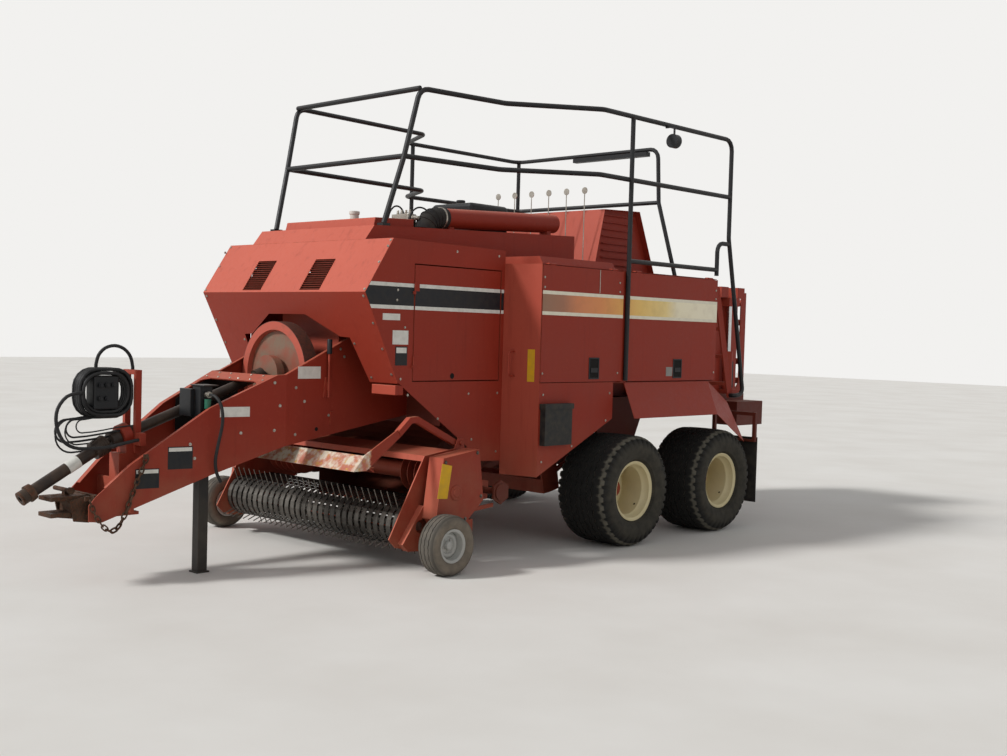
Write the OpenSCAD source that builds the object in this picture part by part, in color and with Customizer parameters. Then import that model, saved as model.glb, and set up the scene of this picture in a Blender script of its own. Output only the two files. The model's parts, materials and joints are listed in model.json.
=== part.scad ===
// Large square baler: towed farm machine with tandem wheels, pickup, bale chamber and needle yoke.
// Modules draw with Y = 0 at the front tandem axle, drawbar towards -Y, +X to the machine's left.

/* [Tandem wheels] */
// Outer diameter of a tandem tyre
tyre_d = 866; // [820:2:900]
// Width of a tandem tyre
tyre_w = 491; // [460:1:500]
// Diameter of the rim flanges
rim_flange_d = 466; // [450:1:480]
// Diameter of the tyre seat on the rim
rim_seat_d = 432; // [420:1:440]
// Distance between the two tandem axles
axle_gap = 1213; // [1150:1:1300]
// Diameter of the stub axles
stub_d = 80; // [60:1:100]
// Thickness of the walking beams
beam_w = 100; // [80:1:110]

/* [Bale chamber] */
// Inside width of the chamber
chamber_w = 1200; // [1100:5:1220]
// Inside height of the chamber
chamber_h = 875; // [800:5:880]
// Height of the chamber's floor above the ground
floor_z = 1130; // [1100:5:1140]
// Thickness of the chamber's walls
chamber_wall = 12; // [8:1:14]
// Distance from the front tandem axle to the rear end of the chamber
chamber_rear = 2600; // [2500:5:2700]
// Distance from the front tandem axle to the front end of the chamber
chamber_front = 1400; // [1380:5:1430]

/* [Main frame] */
// Width of the long side rails
rail_w = 60; // [50:1:70]
// Height of the long side rails
rail_h = 170; // [140:5:180]
// Diameter of the cross axle tube
axle_tube_d = 150; // [120:5:160]

/* [Body panels] */
// Thickness of the sheet panels
sheet = 4; // [3:0.5:5]
// Half width of the front bodywork
nose_x = 943; // [935:1:950]
// Half width over the twine box doors
box_x = 1250; // [1235:1:1260]
// Height of the seam between upper and lower panels
seam_z = 1275; // [1265:1:1285]
// Height of the top of the twine box doors
door_top = 2140; // [2100:5:2160]
// Height of the shoulder of the front shield
shoulder_z = 2248; // [2230:1:2260]
// Gap between a door and the panels round it
door_gap = 8; // [6:1:10]
// Depth of the folded edges of the doors
door_fold = 30; // [20:1:40]

/* [Drive] */
// Diameter of the flywheel
flywheel_d = 740; // [700:5:750]
// Width of the flywheel's rim
flywheel_w = 110; // [90:5:120]
// Height of the flywheel's shaft
drive_z = 1300; // [1290:1:1310]
// Diameter of the splined bore in the tractor end yoke
spline_d = 34.9; // [34.9:10:44.9]

/* [Pickup] */
// Number of slots for the tines
tine_slots = 29; // [25:2:29]
// Distance from one row of tines to the next
tine_pitch = 66.7; // [60:0.1:67]
// Width of a stripper band
band_w = 44; // [40:1:50]
// Radius of the stripper bands' front curve
band_r = 150; // [140:1:155]
// Radius of the circle that the tine tips run on
tine_r = 268; // [250:1:270]
// Diameter of a tine
tine_d = 8; // [6:1:9]
// Height of the reel's shaft above the ground
reel_z = 300; // [295:1:310]
// Outer diameter of a gauge tyre
gauge_d = 409; // [400:1:420]
// Width of a gauge tyre
gauge_w = 165; // [150:1:170]

/* [Needles] */
// Number of needles
needle_count = 6; // [4:2:6]
// Distance from one needle to the next
needle_pitch = 200; // [180:5:200]
// Radius of the arc that the needles follow
needle_r = 1050; // [1040:1:1060]
// Thickness of a needle
needle_t = 14; // [10:1:16]

/* [Hand rails] */
// Diameter of the rail tube
rail_tube = 38; // [32:1:42]
// Height of the top rail
rail_top = 3340; // [3300:5:3380]
// Height of the middle rail
rail_mid = 2853; // [2800:5:2900]

/* [Hidden] */

// Colours as the weathered machine shows them
paint_red = "#8a2f22";
paint_black = "#1c1c1c";
rim_cream = "#d8cfa8";
rim_grey = "#a8a9a6";
worn_steel = "#5b5a58";
rubber_black = "#26252a";
lens_amber = "#d08a18";

// Clearances
run_gap = 0.05;     // a shaft turning in its bore, on the radius
seat_gap = 0.3;     // a piece lying on its seat
free_gap = 6;       // a moving piece beside a fixed one

fine = 64;          // facets of large round shapes
small = 32;         // facets of small round shapes

// Places worked out from the sizes
axle_z = tyre_d / 2;
gauge_z = gauge_d / 2;
wall_x = chamber_w / 2 + chamber_wall;
roof_z = floor_z + chamber_h;
rail_top_z = floor_z - chamber_wall;
rail_low_z = rail_top_z - rail_h;
rail_x = wall_x + 88;                     // inner face of a side rail
beam_x0 = rail_x + rail_w + 44.5;         // inner face of a walking beam
beam_x1 = beam_x0 + beam_w;
wheel_x = beam_x1 + 40 + tyre_w / 2;      // middle of a tandem tyre
hub_x0 = wheel_x - 100;                   // inner end of a wheel hub
hub_x1 = wheel_x - 20;                    // outer end of a wheel hub
hub_cap = 12;
pivot_y = axle_gap / 2;                   // walking beam pivot
axle_tube_z = 560;

// Power line: [y, z] of the tractor end, the middle joint and the flywheel joint
pto_tip = [-4255, 550];
mid_joint = [-3690, 870];
joint_ball = 20;
clutch_len = 60;
flywheel_y = -2420;                       // front face of the flywheel
fly_joint = [flywheel_y - clutch_len - joint_ball - seat_gap, drive_z];
yoke_r = 45;
pto_angle = atan2(mid_joint[1] - pto_tip[1], mid_joint[0] - pto_tip[0]);
front_reach = -pto_tip[0] + yoke_r * sin(pto_angle);

// Rear chute
chute_hinge = [chamber_rear + 45, floor_z - 40];
chute_depth = 150;
chute_len = 1000;
rear_reach = chute_hinge[0] + chute_depth;
front_axle_y = (front_reach - rear_reach) / 2;

// Pickup places, [y, z]
lift_pivot = [-1300, 500];
reel_c = [-1950, reel_z];
auger_c = [-1620, 620];
gauge_c = [-1930, gauge_z];
guard_pivot = [-1530, 845];
pick_plate_x = tine_slots * tine_pitch / 2 + 35;   // inner face of a pickup side plate
pick_plate_t = 10;
pick_box_x1 = 1200;
gauge_x0 = 1215;                          // inner face of a gauge tyre

// Needle yoke places
needle_pivot = [-350, floor_z + 320];
needle_tip_a = -19.5;
needle_root_a = -79;
yoke_arm_x = wall_x + 56;
yoke_arm_t = 20;

// Twine box bounds
box_inner_x = rail_x + 20;
box_front_y = -985;
box_split = [-20, 60];
box_rear_y = 1300;
deck_rear_y = 1490;
rail_x1 = 1262;                           // middle of the outer hand rail tube
pillar_x = rail_x1 - rail_tube / 2 - seat_gap;

function unit(v) = v / norm(v);
function left_of(v) = [-v[1], v[0]];
function heading(p, i) = unit(p[min(i + 1, len(p) - 1)] - p[min(i, len(p) - 2)]);
function mitre(p, i) =
    let (a = left_of(heading(p, max(i - 1, 0))), b = left_of(heading(p, i)), m = unit(a + b))
    m / (m * a);
// Outline of a bent sheet: the path itself and the path moved t to its left
function bent(p, t) = concat(p, [for (i = [len(p) - 1 : -1 : 0]) p[i] + t * mitre(p, i)]);
function arc(c, r, a0, a1, n) =
    [for (i = [0 : n]) let (a = a0 + (a1 - a0) * i / n) c + r * [cos(a), sin(a)]];

module at_axle() translate([0, front_axle_y, 0]) children();
module side_profile(points, x0, x1)
    translate([x0, 0, 0]) rotate([90, 0, 90]) linear_extrude(x1 - x0) polygon(points);
module front_profile(points, y0, y1)
    translate([0, y1, 0]) rotate([90, 0, 0]) linear_extrude(y1 - y0) polygon(points);
module block(low, high) translate(low) cube(high - low);
module rod_x(d, x0, x1, p)
    translate([x0, p[0], p[1]]) rotate([0, 90, 0]) cylinder(d = d, h = x1 - x0, $fn = fine);
module rod_y(d, y0, y1, x, z)
    translate([x, y1, z]) rotate([90, 0, 0]) cylinder(d = d, h = y1 - y0, $fn = fine);
module both_sides() {
    children();
    mirror([1, 0, 0]) children();
}
// Stands children, drawn along +Z from 0, on point p towards point q in the YZ plane
module aimed(p, q) translate([0, p[0], p[1]]) rotate([atan2(-(q[0] - p[0]), q[1] - p[1]), 0, 0]) children();

// Tube along a path of points with corners rounded to radius bend
function corner(p, i, bend, n) =
    let (a = unit(p[i - 1] - p[i]), b = unit(p[i + 1] - p[i]),
         half = acos(max(-1, min(1, a * b))) / 2,
         cut = min(bend / tan(half), 0.45 * norm(p[i - 1] - p[i]), 0.45 * norm(p[i + 1] - p[i])),
         r = cut * tan(half),
         c = p[i] + unit(a + b) * r / sin(half),
         s = unit(p[i] + a * cut - c), e = unit(p[i] + b * cut - c), turn = 180 - 2 * half)
    [for (k = [0 : n]) c + r * (s * sin(turn * (1 - k / n)) + e * sin(turn * k / n)) / sin(turn)];
function rounded_path(p, bend, n) = concat([p[0]],
    [for (i = [1 : len(p) - 2]) each corner(p, i, bend, n)], [p[len(p) - 1]]);
function turned(v, k, a) = v * cos(a) + cross(k, v) * sin(a) + k * (k * v) * (1 - cos(a));
function carried(n, t0, t1) =
    let (k = cross(t0, t1), s = norm(k))
    s < 1e-9 ? n : turned(n, k / s, atan2(s, t0 * t1));
function path_dirs(p) = [for (i = [0 : len(p) - 1])
    i == 0 ? unit(p[1] - p[0]) : i == len(p) - 1 ? unit(p[i] - p[i - 1])
    : unit(unit(p[i + 1] - p[i]) + unit(p[i] - p[i - 1]))];
function path_normals(t, i, n) =
    i == len(t) - 1 ? [n] : concat([n], path_normals(t, i + 1, carried(n, t[i], t[i + 1])));
module swept(p, d, sides) {
    t = path_dirs(p);
    first = unit(cross(t[0], abs(t[0][2]) < 0.9 ? [0, 0, 1] : [1, 0, 0]));
    nn = path_normals(t, 0, first);
    pts = [for (i = [0 : len(p) - 1], k = [0 : sides - 1])
        p[i] + d / 2 * turned(nn[i], t[i], 360 * k / sides)];
    walls = [for (i = [0 : len(p) - 2], k = [0 : sides - 1])
        [i * sides + k, (i + 1) * sides + k, (i + 1) * sides + (k + 1) % sides,
        i * sides + (k + 1) % sides]];
    ends = [[for (k = [0 : sides - 1]) k], [for (k = [sides - 1 : -1 : 0]) (len(p) - 1) * sides + k]];
    polyhedron(pts, concat(walls, ends), convexity = 10);
}
module bent_tube(p, d = rail_tube, bend = 90, n = 4)
    swept(len(p) > 2 ? rounded_path(p, bend, n) : p, d, 10);

// Flat quad panel of thickness t, corners listed round its outer face
module quad_panel(q, t) {
    n = unit(cross(q[1] - q[0], q[3] - q[0])) * t;
    polyhedron(concat(q, [for (v = q) v - n]),
        [[3, 2, 1, 0], [4, 5, 6, 7], [0, 1, 5, 4], [1, 2, 6, 5], [2, 3, 7, 6], [3, 0, 4, 7]]);
}

// Frame and running gear

module main_frame() color(paint_red) at_axle() {
    rear_y = chamber_rear - 50;
    cross_ys = [880, 1650, 2400];
    both_sides() {
        block([rail_x, -chamber_front, rail_low_z], [rail_x + rail_w, rear_y, rail_top_z]);
        // axle hanger under the rail
        difference() {
            side_profile([[pivot_y - 330, rail_low_z], [pivot_y + 330, rail_low_z],
                [pivot_y + 110, axle_tube_z - 60], [pivot_y - 110, axle_tube_z - 60]], rail_x + 15,
                rail_x + 45);
            rod_x(axle_tube_d, rail_x, rail_x + rail_w, [pivot_y, axle_tube_z]);
        }
        // outrigger and hanger for the pickup's pivot
        block([wall_x, lift_pivot[0] - 60, rail_low_z + 20],
            [rail_x, lift_pivot[0] + 20, rail_low_z + 100]);
        block([rail_x + rail_w, lift_pivot[0] - 60, rail_low_z + 20],
            [915, lift_pivot[0] + 20, rail_low_z + 100]);
        difference() {
            side_profile([[lift_pivot[0] - 60, rail_low_z + 20], [lift_pivot[0] + 20, rail_low_z + 20],
                [lift_pivot[0] + 60, lift_pivot[1]], [lift_pivot[0] + 30, lift_pivot[1] - 60],
                [lift_pivot[0] - 30, lift_pivot[1] - 60], [lift_pivot[0] - 60, lift_pivot[1]]], 900, 915);
            rod_x(50, 890, 925, lift_pivot);
        }
        rod_x(50, 900, pick_plate_x + pick_plate_t + 30, lift_pivot);
        // arm for the mudflap
        block([rail_x + rail_w, 1690, rail_low_z + 20], [wheel_x + 235, 1720, rail_low_z + 50]);
        block([wheel_x - 210, 1690, 760], [wheel_x - 180, 1720, rail_low_z + 20]);
        block([wheel_x + 205, 1690, 760], [wheel_x + 235, 1720, rail_low_z + 20]);
        block([wheel_x - 210, 1690, 740], [wheel_x + 235, 1720, 760]);
    }
    // valve box behind the wheels and the disc of the pickup drive
    block([rail_x + rail_w - 2, 2060, 840], [1000, 2500, 1060]);
    both_sides() {
        rod_x(50, pick_plate_x + pick_plate_t + 30, 1180, lift_pivot);
        translate([1180, lift_pivot[0], lift_pivot[1]]) rotate([0, 90, 0])
            cylinder(r = 88, h = 16, $fn = 6);
        rod_x(120, 1196, 1206, lift_pivot);
    }
    for (y = cross_ys) block([-rail_x, y, rail_top_z - 90], [rail_x, y + 80, rail_top_z]);
    rod_x(axle_tube_d, -beam_x0, beam_x0, [pivot_y, axle_tube_z]);
    // front cross box that the drawbar bolts to
    block([-rail_x - rail_w, -chamber_front - 100, rail_low_z],
        [rail_x + rail_w, -chamber_front, rail_top_z - 20]);
    block([-wall_x, -chamber_front - 100, rail_top_z - 20], [wall_x, -chamber_front, roof_z]);
}

module tandem_beams() color(paint_red) at_axle() both_sides() {
    z = axle_z;
    side_profile([[-80, z - 50], [-80, z + 50], [pivot_y - 260, axle_tube_z + 100],
        [pivot_y + 260, axle_tube_z + 100],
        [axle_gap + 80, z + 50], [axle_gap + 80, z - 50], [axle_gap - 20, z - 80], [20, z - 80]],
        beam_x0, beam_x1);
    for (y = [0, axle_gap]) {
        rod_x(stub_d + 40, beam_x1, hub_x0 - 3, [y, z]);
        rod_x(stub_d, hub_x0 - 3, hub_x1 - 10, [y, z]);
    }
}

module tyre_shape(d, w, seat_d, flange_d, groove_xs, groove_w, groove_deep) {
    r = d / 2;
    bead = w * 0.42 - 17.5;          // half the width between the bead faces
    rotate([0, 90, 0]) rotate_extrude($fn = fine) difference() {
        polygon([[seat_d / 2 + seat_gap, -bead], [flange_d / 2 + 1, -bead - 8], [r * 0.70, -w * 0.5],
            [r * 0.83, -w * 0.5],
            [r * 0.935, -w * 0.475], [r * 0.985, -w * 0.42], [r, -w * 0.36], [r, w * 0.36],
            [r * 0.985, w * 0.42],
            [r * 0.935, w * 0.475], [r * 0.83, w * 0.5], [r * 0.70, w * 0.5], [flange_d / 2 + 1, bead + 8],
            [seat_d / 2 + seat_gap, bead]]);
        for (x = groove_xs) translate([r - groove_deep, x - groove_w / 2])
            square([groove_deep + 5, groove_w]);
    }
}
module tandem_tyre(side, y) color(rubber_black) at_axle()
    translate([side * wheel_x, y, axle_z])
    tyre_shape(tyre_d, tyre_w, rim_seat_d, rim_flange_d, [for (k = [-1.5 : 1 : 1.5]) k * tyre_w * 0.15],
    14, 16);
// side is the way the dish faces
module rim_shape(side, flange_d, seat_d, w, disc_x, disc_t, hub_d, hub0, hub1, bore_d) {
    f = flange_d / 2;
    s = seat_d / 2;
    mirror([side < 0 ? 1 : 0, 0, 0]) rotate([0, 90, 0]) rotate_extrude($fn = fine) {
        polygon([[s - 12, -w / 2], [f, -w / 2], [f, -w / 2 + 8], [s, -w / 2 + 16], [s, w / 2 - 16],
            [f, w / 2 - 8],
            [f, w / 2], [s - 12, w / 2]]);
        translate([bore_d / 2, disc_x]) square([s - 6 - bore_d / 2, disc_t]);
        translate([bore_d / 2, hub0]) square([(hub_d - bore_d) / 2, hub1 - hub0]);
        translate([0, hub1]) square([hub_d / 2, hub_cap]);
    }
}
module tandem_rim(side, y) color(rim_cream) at_axle()
    translate([side * wheel_x, y, axle_z])
    rim_shape(side, rim_flange_d, rim_seat_d, tyre_w * 0.84, -58, 14, 190, hub_x0 - wheel_x,
    hub_x1 - wheel_x,
        stub_d + 2 * run_gap);

module tyre_left_front() tandem_tyre(1, 0);
module tyre_left_rear() tandem_tyre(1, axle_gap);
module tyre_right_front() tandem_tyre(-1, 0);
module tyre_right_rear() tandem_tyre(-1, axle_gap);
module rim_left_front() tandem_rim(1, 0);
module rim_left_rear() tandem_rim(1, axle_gap);
module rim_right_front() tandem_rim(-1, 0);
module rim_right_rear() tandem_rim(-1, axle_gap);

// Bale chamber, feeder and needles

module bale_chamber() color(paint_red) at_axle() {
    rib_ys = [900, 1300, 1750];
    difference() {
        block([-wall_x, -chamber_front, floor_z - chamber_wall],
            [wall_x, chamber_rear, roof_z + chamber_wall]);
        block([-chamber_w / 2, -chamber_front + chamber_wall, floor_z],
            [chamber_w / 2, chamber_rear + 1, roof_z]);
        // mouth of the feeder in the floor
        block([-chamber_w / 2 + 10, duct_y1 - 450, floor_z - chamber_wall - 1],
            [chamber_w / 2 - 10, duct_y1, floor_z + 1]);
        // slots for the needles in floor and roof
        for (x = needle_xs, zr = [[floor_z - chamber_wall, floor_z], [roof_z, roof_z + chamber_wall]])
            needle_slot(x, zr);
    }
    both_sides() {
        for (y = rib_ys)
            block([wall_x, y, floor_z], [wall_x + 50, y + 70, roof_z]);
        rod_x(70, wall_x, yoke_arm_x - 3, needle_pivot);
        rod_x(44, yoke_arm_x - 3, yoke_arm_x + yoke_arm_t + 12, needle_pivot);
    }
    // beams that carry the knotters and their hood
    for (y = [396, 1234])
        block([-hood_x, y, roof_z + chamber_wall], [hood_x, y + 40, hood_path[0][1] - 1.9]);
}
needle_xs = [for (i = [0 : needle_count - 1]) (i - (needle_count - 1) / 2) * needle_pitch];
needle_deep = 40;      // radial depth of a needle
module needle_slot(x, zr) {
    dz0 = zr[0] - needle_pivot[1];
    dz1 = zr[1] - needle_pivot[1];
    r0 = needle_r - needle_deep / 2 - 10;
    r1 = needle_r + needle_deep / 2 + 10;
    far_dz = min(abs(dz0), abs(dz1));
    near_dz = max(abs(dz0), abs(dz1));
    block([x - needle_t / 2 - 8, needle_pivot[0] + sqrt(r0 * r0 - near_dz * near_dz), zr[0] - 1],
        [x + needle_t / 2 + 8, needle_pivot[0] + sqrt(r1 * r1 - far_dz * far_dz), zr[1] + 1]);
}

duct_y1 = -700;        // rear edge of the feeder at the chamber floor
duct_c = [-1500, floor_z - chamber_wall];
module feeder_duct() color(paint_red) at_axle() {
    outer = -duct_c[0] + duct_y1;
    inner = outer - 450;
    both_sides() side_profile(concat(arc(duct_c, outer, -90, 0, 12), arc(duct_c, inner, 0, -90, 8)),
        wall_x - 12, wall_x);
    side_profile(concat(arc(duct_c, outer, -90, 0, 12), arc(duct_c, outer - 6, 0, -90, 12)),
        -wall_x + 12, wall_x - 12);
    side_profile(concat(arc(duct_c, inner, -90, 0, 8), arc(duct_c, inner + 6, 0, -90, 8)), -wall_x + 12,
        wall_x - 12);
}

module needle_yoke() color(paint_red) at_axle() {
    c = needle_pivot;
    r0 = needle_r - needle_deep / 2;
    r1 = needle_r + needle_deep / 2;
    beam_a = needle_root_a - 2;
    both_sides() difference() {
        side_profile(concat(arc(c, 75, 190, 10, 8), arc(c, r1 + 30, beam_a + 6, beam_a - 4, 3)),
            yoke_arm_x, yoke_arm_x + yoke_arm_t);
        rod_x(44 + 2 * run_gap, yoke_arm_x - 1, yoke_arm_x + yoke_arm_t + 1, c);
    }
    // cross beam of the yoke
    side_profile(concat(arc(c, r1 + 30, beam_a - 4, beam_a + 4, 3),
        arc(c, r0 - 40, beam_a + 4, beam_a - 4, 3)), -yoke_arm_x, yoke_arm_x);
    for (x = needle_xs)
        side_profile(concat(arc(c, r0, needle_root_a, needle_tip_a - 2, 14),
            [c + (needle_r + 4) * [cos(needle_tip_a), sin(needle_tip_a)]],
            arc(c, r1, needle_tip_a - 3, needle_root_a, 14)), x - needle_t / 2, x + needle_t / 2);
}

module density_rails() color(paint_red) at_axle() {
    ys = [2150, chamber_rear - 170];
    for (y = ys) {
        block([-wall_x - 120, y, roof_z + chamber_wall + 8],
            [wall_x + 120, y + 120, roof_z + chamber_wall + 108]);
        block([-wall_x, y, roof_z + chamber_wall], [wall_x, y + 120, roof_z + chamber_wall + 8]);
        both_sides() block([wall_x, y, rail_top_z], [wall_x + 50, y + 120, roof_z + chamber_wall + 8]);
    }
    both_sides() for (y = [2340]) {
        difference() {
            translate([wall_x + 90, y, rail_top_z]) cylinder(d = 90, h = 400, $fn = small);
            translate([wall_x + 90, y, rail_top_z + 60])
                cylinder(d = 50 + 2 * seat_gap, h = 400, $fn = small);
        }
        block([wall_x + 40, y - 80, roof_z - 60], [wall_x + 140, y + 100, roof_z + chamber_wall + 8]);
        block([wall_x, y - 80, rail_top_z], [wall_x + 140, y + 100, rail_top_z + 40]);
    }
    // hinge ears of the chute
    both_sides() {
        block([wall_x, chamber_rear - 100, chute_hinge[1] - 40],
            [wall_x + 12, chute_hinge[0] + 35, chute_hinge[1] + 50]);
        rod_x(hinge_rod, chute_x - 2, wall_x + 6, chute_hinge);
    }
}
module density_rods() color("silver") at_axle() both_sides()
    translate([wall_x + 90, 2340, rail_top_z + 60])
    cylinder(d = 50, h = roof_z - 60 - rail_top_z - 60, $fn = small);

hinge_rod = 30;
chute_plate = 10;
chute_x = chamber_w / 2 - chute_plate;    // inner face of a chute side plate
module chute() color(paint_red) at_axle() {
    y0 = chute_hinge[0];
    z0 = chute_hinge[1];
    both_sides() difference() {
        side_profile([[y0 - 30, z0 - 30], [y0 + 90, z0 - 30], [y0 + chute_depth, z0 + 120],
            [y0 + chute_depth, z0 + chute_len],
            [y0 + 60, z0 + chute_len], [y0 + 60, z0 + 120], [y0 - 30, z0 + 30]], chute_x,
            chute_x + chute_plate);
        rod_x(hinge_rod + 2 * run_gap, chute_x - 10, chute_x + chute_plate + 10, chute_hinge);
    }
    for (k = [0 : 4]) rod_x(60, -chute_x, chute_x, [y0 + 105, z0 + 140 + k * 190]);
}

// Drawbar, jack and power line

tongue_fold_y = -2600;
tongue_x = 400;
tongue_front = [168, -3900];
tongue_t = 8;
tongue_angle = atan2(tongue_x - tongue_front[0], tongue_fold_y - tongue_front[1]);
tongue_fold = 28;                         // width of the folded edges
tongue_rear_y = -chamber_front - 100;
stand_x = 80;                             // half width of the hose stand
stand_y = -3540;                          // front face of the hose stand

module tongue() color(paint_red) at_axle() {
    plate_x = tongue_x - tongue_t;
    s = 1 / cos(tongue_angle);
    both_sides() {
        // rear plate with its flange
        side_profile([[tongue_fold_y, 825], [tongue_fold_y, 1309], [-2065, 1566], [tongue_rear_y, 1566],
            [tongue_rear_y, 1006]], plate_x, tongue_x);
        side_profile(bent([[tongue_fold_y, 1309 - 8], [-2065, 1566 - 8], [tongue_rear_y, 1566 - 8]], 8),
            plate_x - 20, plate_x);
        // front plate, turned in towards the hitch
        translate([tongue_x, tongue_fold_y, 0]) rotate([0, 0, -tongue_angle])
            side_profile([[0, 825], [0, 1309], [-66 * s, 1305], [-531 * s, 1092], [-1044 * s, 743],
            [-1254 * s, 556],
                [-1300 * s, 500], [-1300 * s, 400], [-1220 * s, 391], [-522 * s, 652]], -tongue_t, 0);
        // folded edge along the top of the front plate
        translate([tongue_x, tongue_fold_y, 0]) rotate([0, 0, -tongue_angle])
            side_profile(bent([[-1200 * s, 604], [-1044 * s, 743], [-531 * s, 1092], [-66 * s, 1305],
            [0, 1309]], -tongue_t),
                -tongue_t - tongue_fold, -tongue_t);
        // bracket of the crank and of the guard's chain
        side_profile([[-2290, 1150], [-2180, 1180], [-2230, 1290], [-2275, 1290]], tongue_x, tongue_x + 14);
        side_profile([[-2225, 955], [-2185, 955], [-2195, 1050], [-2225, 1050]], tongue_x, tongue_x + 10);
        translate([tongue_x + 24, -2256, 1150]) cylinder(d = 18, h = 320, $fn = small);
        block([tongue_x + 8, -2265, 1200], [tongue_x + 24, -2245, 1260]);
        translate([tongue_x + 24, -2256, 1455]) cylinder(d = 32, h = 95, $fn = small);
    }
    // deck strips across the plates
    side_profile(bent([[-2765, 1259], [-2668, 1303]], -8), -plate_x + 27, plate_x - 27);
    block([-172, -3860, 420], [172, -3560, 440]);
    block([-215, -3640, 440], [215, -3620, 640]);
    // pedestal with the bearing of the power line
    difference() {
        union() {
            block([-60, -3640, 440], [60, -3520, 800]);
            aimed(mid_joint, fly_joint) translate([0, 0, 90]) cylinder(r = 75, h = 60, $fn = fine);
            block([-60, -3590, 790], [60, -3540, 870]);
        }
        aimed(mid_joint, fly_joint) translate([0, 0, -40]) cylinder(r = 63, h = 127, $fn = fine);
        aimed(mid_joint, fly_joint) translate([0, 0, 20]) cylinder(r = 30 + run_gap, h = 300, $fn = fine);
    }
    // jack bracket and hose stand
    block([jack_c[0] + jack_outer / 2, jack_c[1] - 30, 760], [300, jack_c[1] + 30, 900]);
    both_sides() block([stand_x - 30, stand_y, 800], [stand_x, stand_y + 40, 1300]);
    block([-stand_x, stand_y, 1300], [stand_x, stand_y + 40, 1330]);
    block([stand_x - 10, stand_y, 850], [stand_x + 62, stand_y + 40, 930]);
}

jack_c = [190, -3120];
jack_outer = 125;
jack_inner = 100;
jack_low = 270;
jack_top = 1235;
jack_gland = [275, jack_c[1], 1175];
module jack_tube() color(paint_black) at_axle() difference() {
    union() {
        block([jack_c[0] - jack_outer / 2, jack_c[1] - jack_outer / 2, jack_low],
            [jack_c[0] + jack_outer / 2, jack_c[1] + jack_outer / 2, jack_top]);
        rod_x(30, jack_gland[0] - 30, jack_gland[0], [jack_gland[1], jack_gland[2]]);
        // collar round the lower end and a cap plate
        block([jack_c[0] - jack_outer / 2 - 8, jack_c[1] - jack_outer / 2 - 8, 600],
            [jack_c[0] + jack_outer / 2 + 8, jack_c[1] + jack_outer / 2 + 8, 640]);
        block([jack_c[0] - jack_outer / 2 - 6, jack_c[1] - jack_outer / 2 - 6, jack_top - 8],
            [jack_c[0] + jack_outer / 2 + 6, jack_c[1] + jack_outer / 2 + 6, jack_top]);
    }
    block([jack_c[0] - jack_inner / 2 - seat_gap, jack_c[1] - jack_inner / 2 - seat_gap, jack_low - 1],
        [jack_c[0] + jack_inner / 2 + seat_gap, jack_c[1] + jack_inner / 2 + seat_gap, jack_top - 12]);
}
module jack_leg() color(paint_black) at_axle()
    block([jack_c[0] - jack_inner / 2, jack_c[1] - jack_inner / 2, 0],
    [jack_c[0] + jack_inner / 2, jack_c[1] + jack_inner / 2, 780]);

hitch_pin = [-4040, 34];       // y of the pin and its bore's diameter
module hitch() color(worn_steel) at_axle() {
    for (z = [[430, 455], [530, 555]]) difference() {
        block([-80, hitch_pin[0] - 60, z[0]], [80, -3860, z[1]]);
        translate([0, hitch_pin[0], z[0] - 1]) cylinder(d = hitch_pin[1], h = z[1] - z[0] + 2, $fn = small);
    }
    block([-80, -3900, 455], [80, -3860, 530]);
    block([-160, -3860, 440], [160, -3830, 560]);
    // bolted cheeks and the lock pin lying on the upper lug
    for (x = [-102, 90]) side_profile([[-3861, 385], [-3861, 555], [-3990, 530], [-3960, 400]], x, x + 12);
    block([-91, -3960, 455], [91, -3930, 530]);
    block([-30, -3975, 550], [10, -3945, 580]);
    rod_x(28, -150, 60, [-3960, 585]);
    rod_x(44, 40, 62, [-3960, 585]);
}

// Chain of flat oval links hung along a path of points
link_len = 56;
link_w = 34;
link_t = 9;
function run_lengths(p) =
    [for (i = 0, l = 0; i < len(p); l = l + (i + 1 < len(p) ? norm(p[i + 1] - p[i]) : 0), i = i + 1) l];
function at_length(p, l, i = 0, from = 0) =
    let (step = norm(p[i + 1] - p[i]))
    l <= from + step || i == len(p) - 2 ? p[i] + (p[i + 1] - p[i]) * (l - from) / step
    : at_length(p, l, i + 1, from + step);
module oval(l, w)
    polygon(concat(arc([(l - w) / 2, 0], w / 2, -90, 90, 4), arc([(w - l) / 2, 0], w / 2, 90, 270, 4)));
module link_chain(p) {
    pitch = link_len - 2 * link_t - 1;
    count = floor(run_lengths(p)[len(p) - 1] / pitch);
    for (k = [0 : count - 1]) {
        a = at_length(p, k * pitch);
        b = at_length(p, (k + 1) * pitch);
        t = unit(b - a);
        n = unit(cross(t, [0.2, 0.3, 0.9]));
        m = cross(t, n);
        u = k % 2 == 0 ? n : m;
        v = k % 2 == 0 ? m : -n;
        c = (a + b) / 2;
        multmatrix([[t[0], u[0], v[0], c[0]], [t[1], u[1], v[1], c[1]], [t[2], u[2], v[2], c[2]],
            [0, 0, 0, 1]])
            translate([0, 0, -link_t / 2]) linear_extrude(link_t) difference() {
                oval(link_len, link_w);
                oval(link_len - 2 * link_t, link_w - 2 * link_t);
            }
    }
}
chain_route = [[250, -3555, 790], [240, -3640, 580], [234, -3690, 440], [224, -3730, 355],
    [212, -3780, 330], [208, -3835, 380], [204, -3885, 460], [202, -3915, 545]];
module chain_clip(p) {
    s = 1 / cos(tongue_angle);
    translate([tongue_x, tongue_fold_y, 0]) rotate([0, 0, -tongue_angle])
        block([seat_gap, (p[1] - tongue_fold_y) * s - 14, p[2] - 12],
        [24, (p[1] - tongue_fold_y) * s + 14, p[2] + 16]);
}
module chain_safety() color(worn_steel) at_axle() {
    link_chain(chain_route);
    chain_clip(chain_route[0]);
    chain_clip(chain_route[7]);
}

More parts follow.
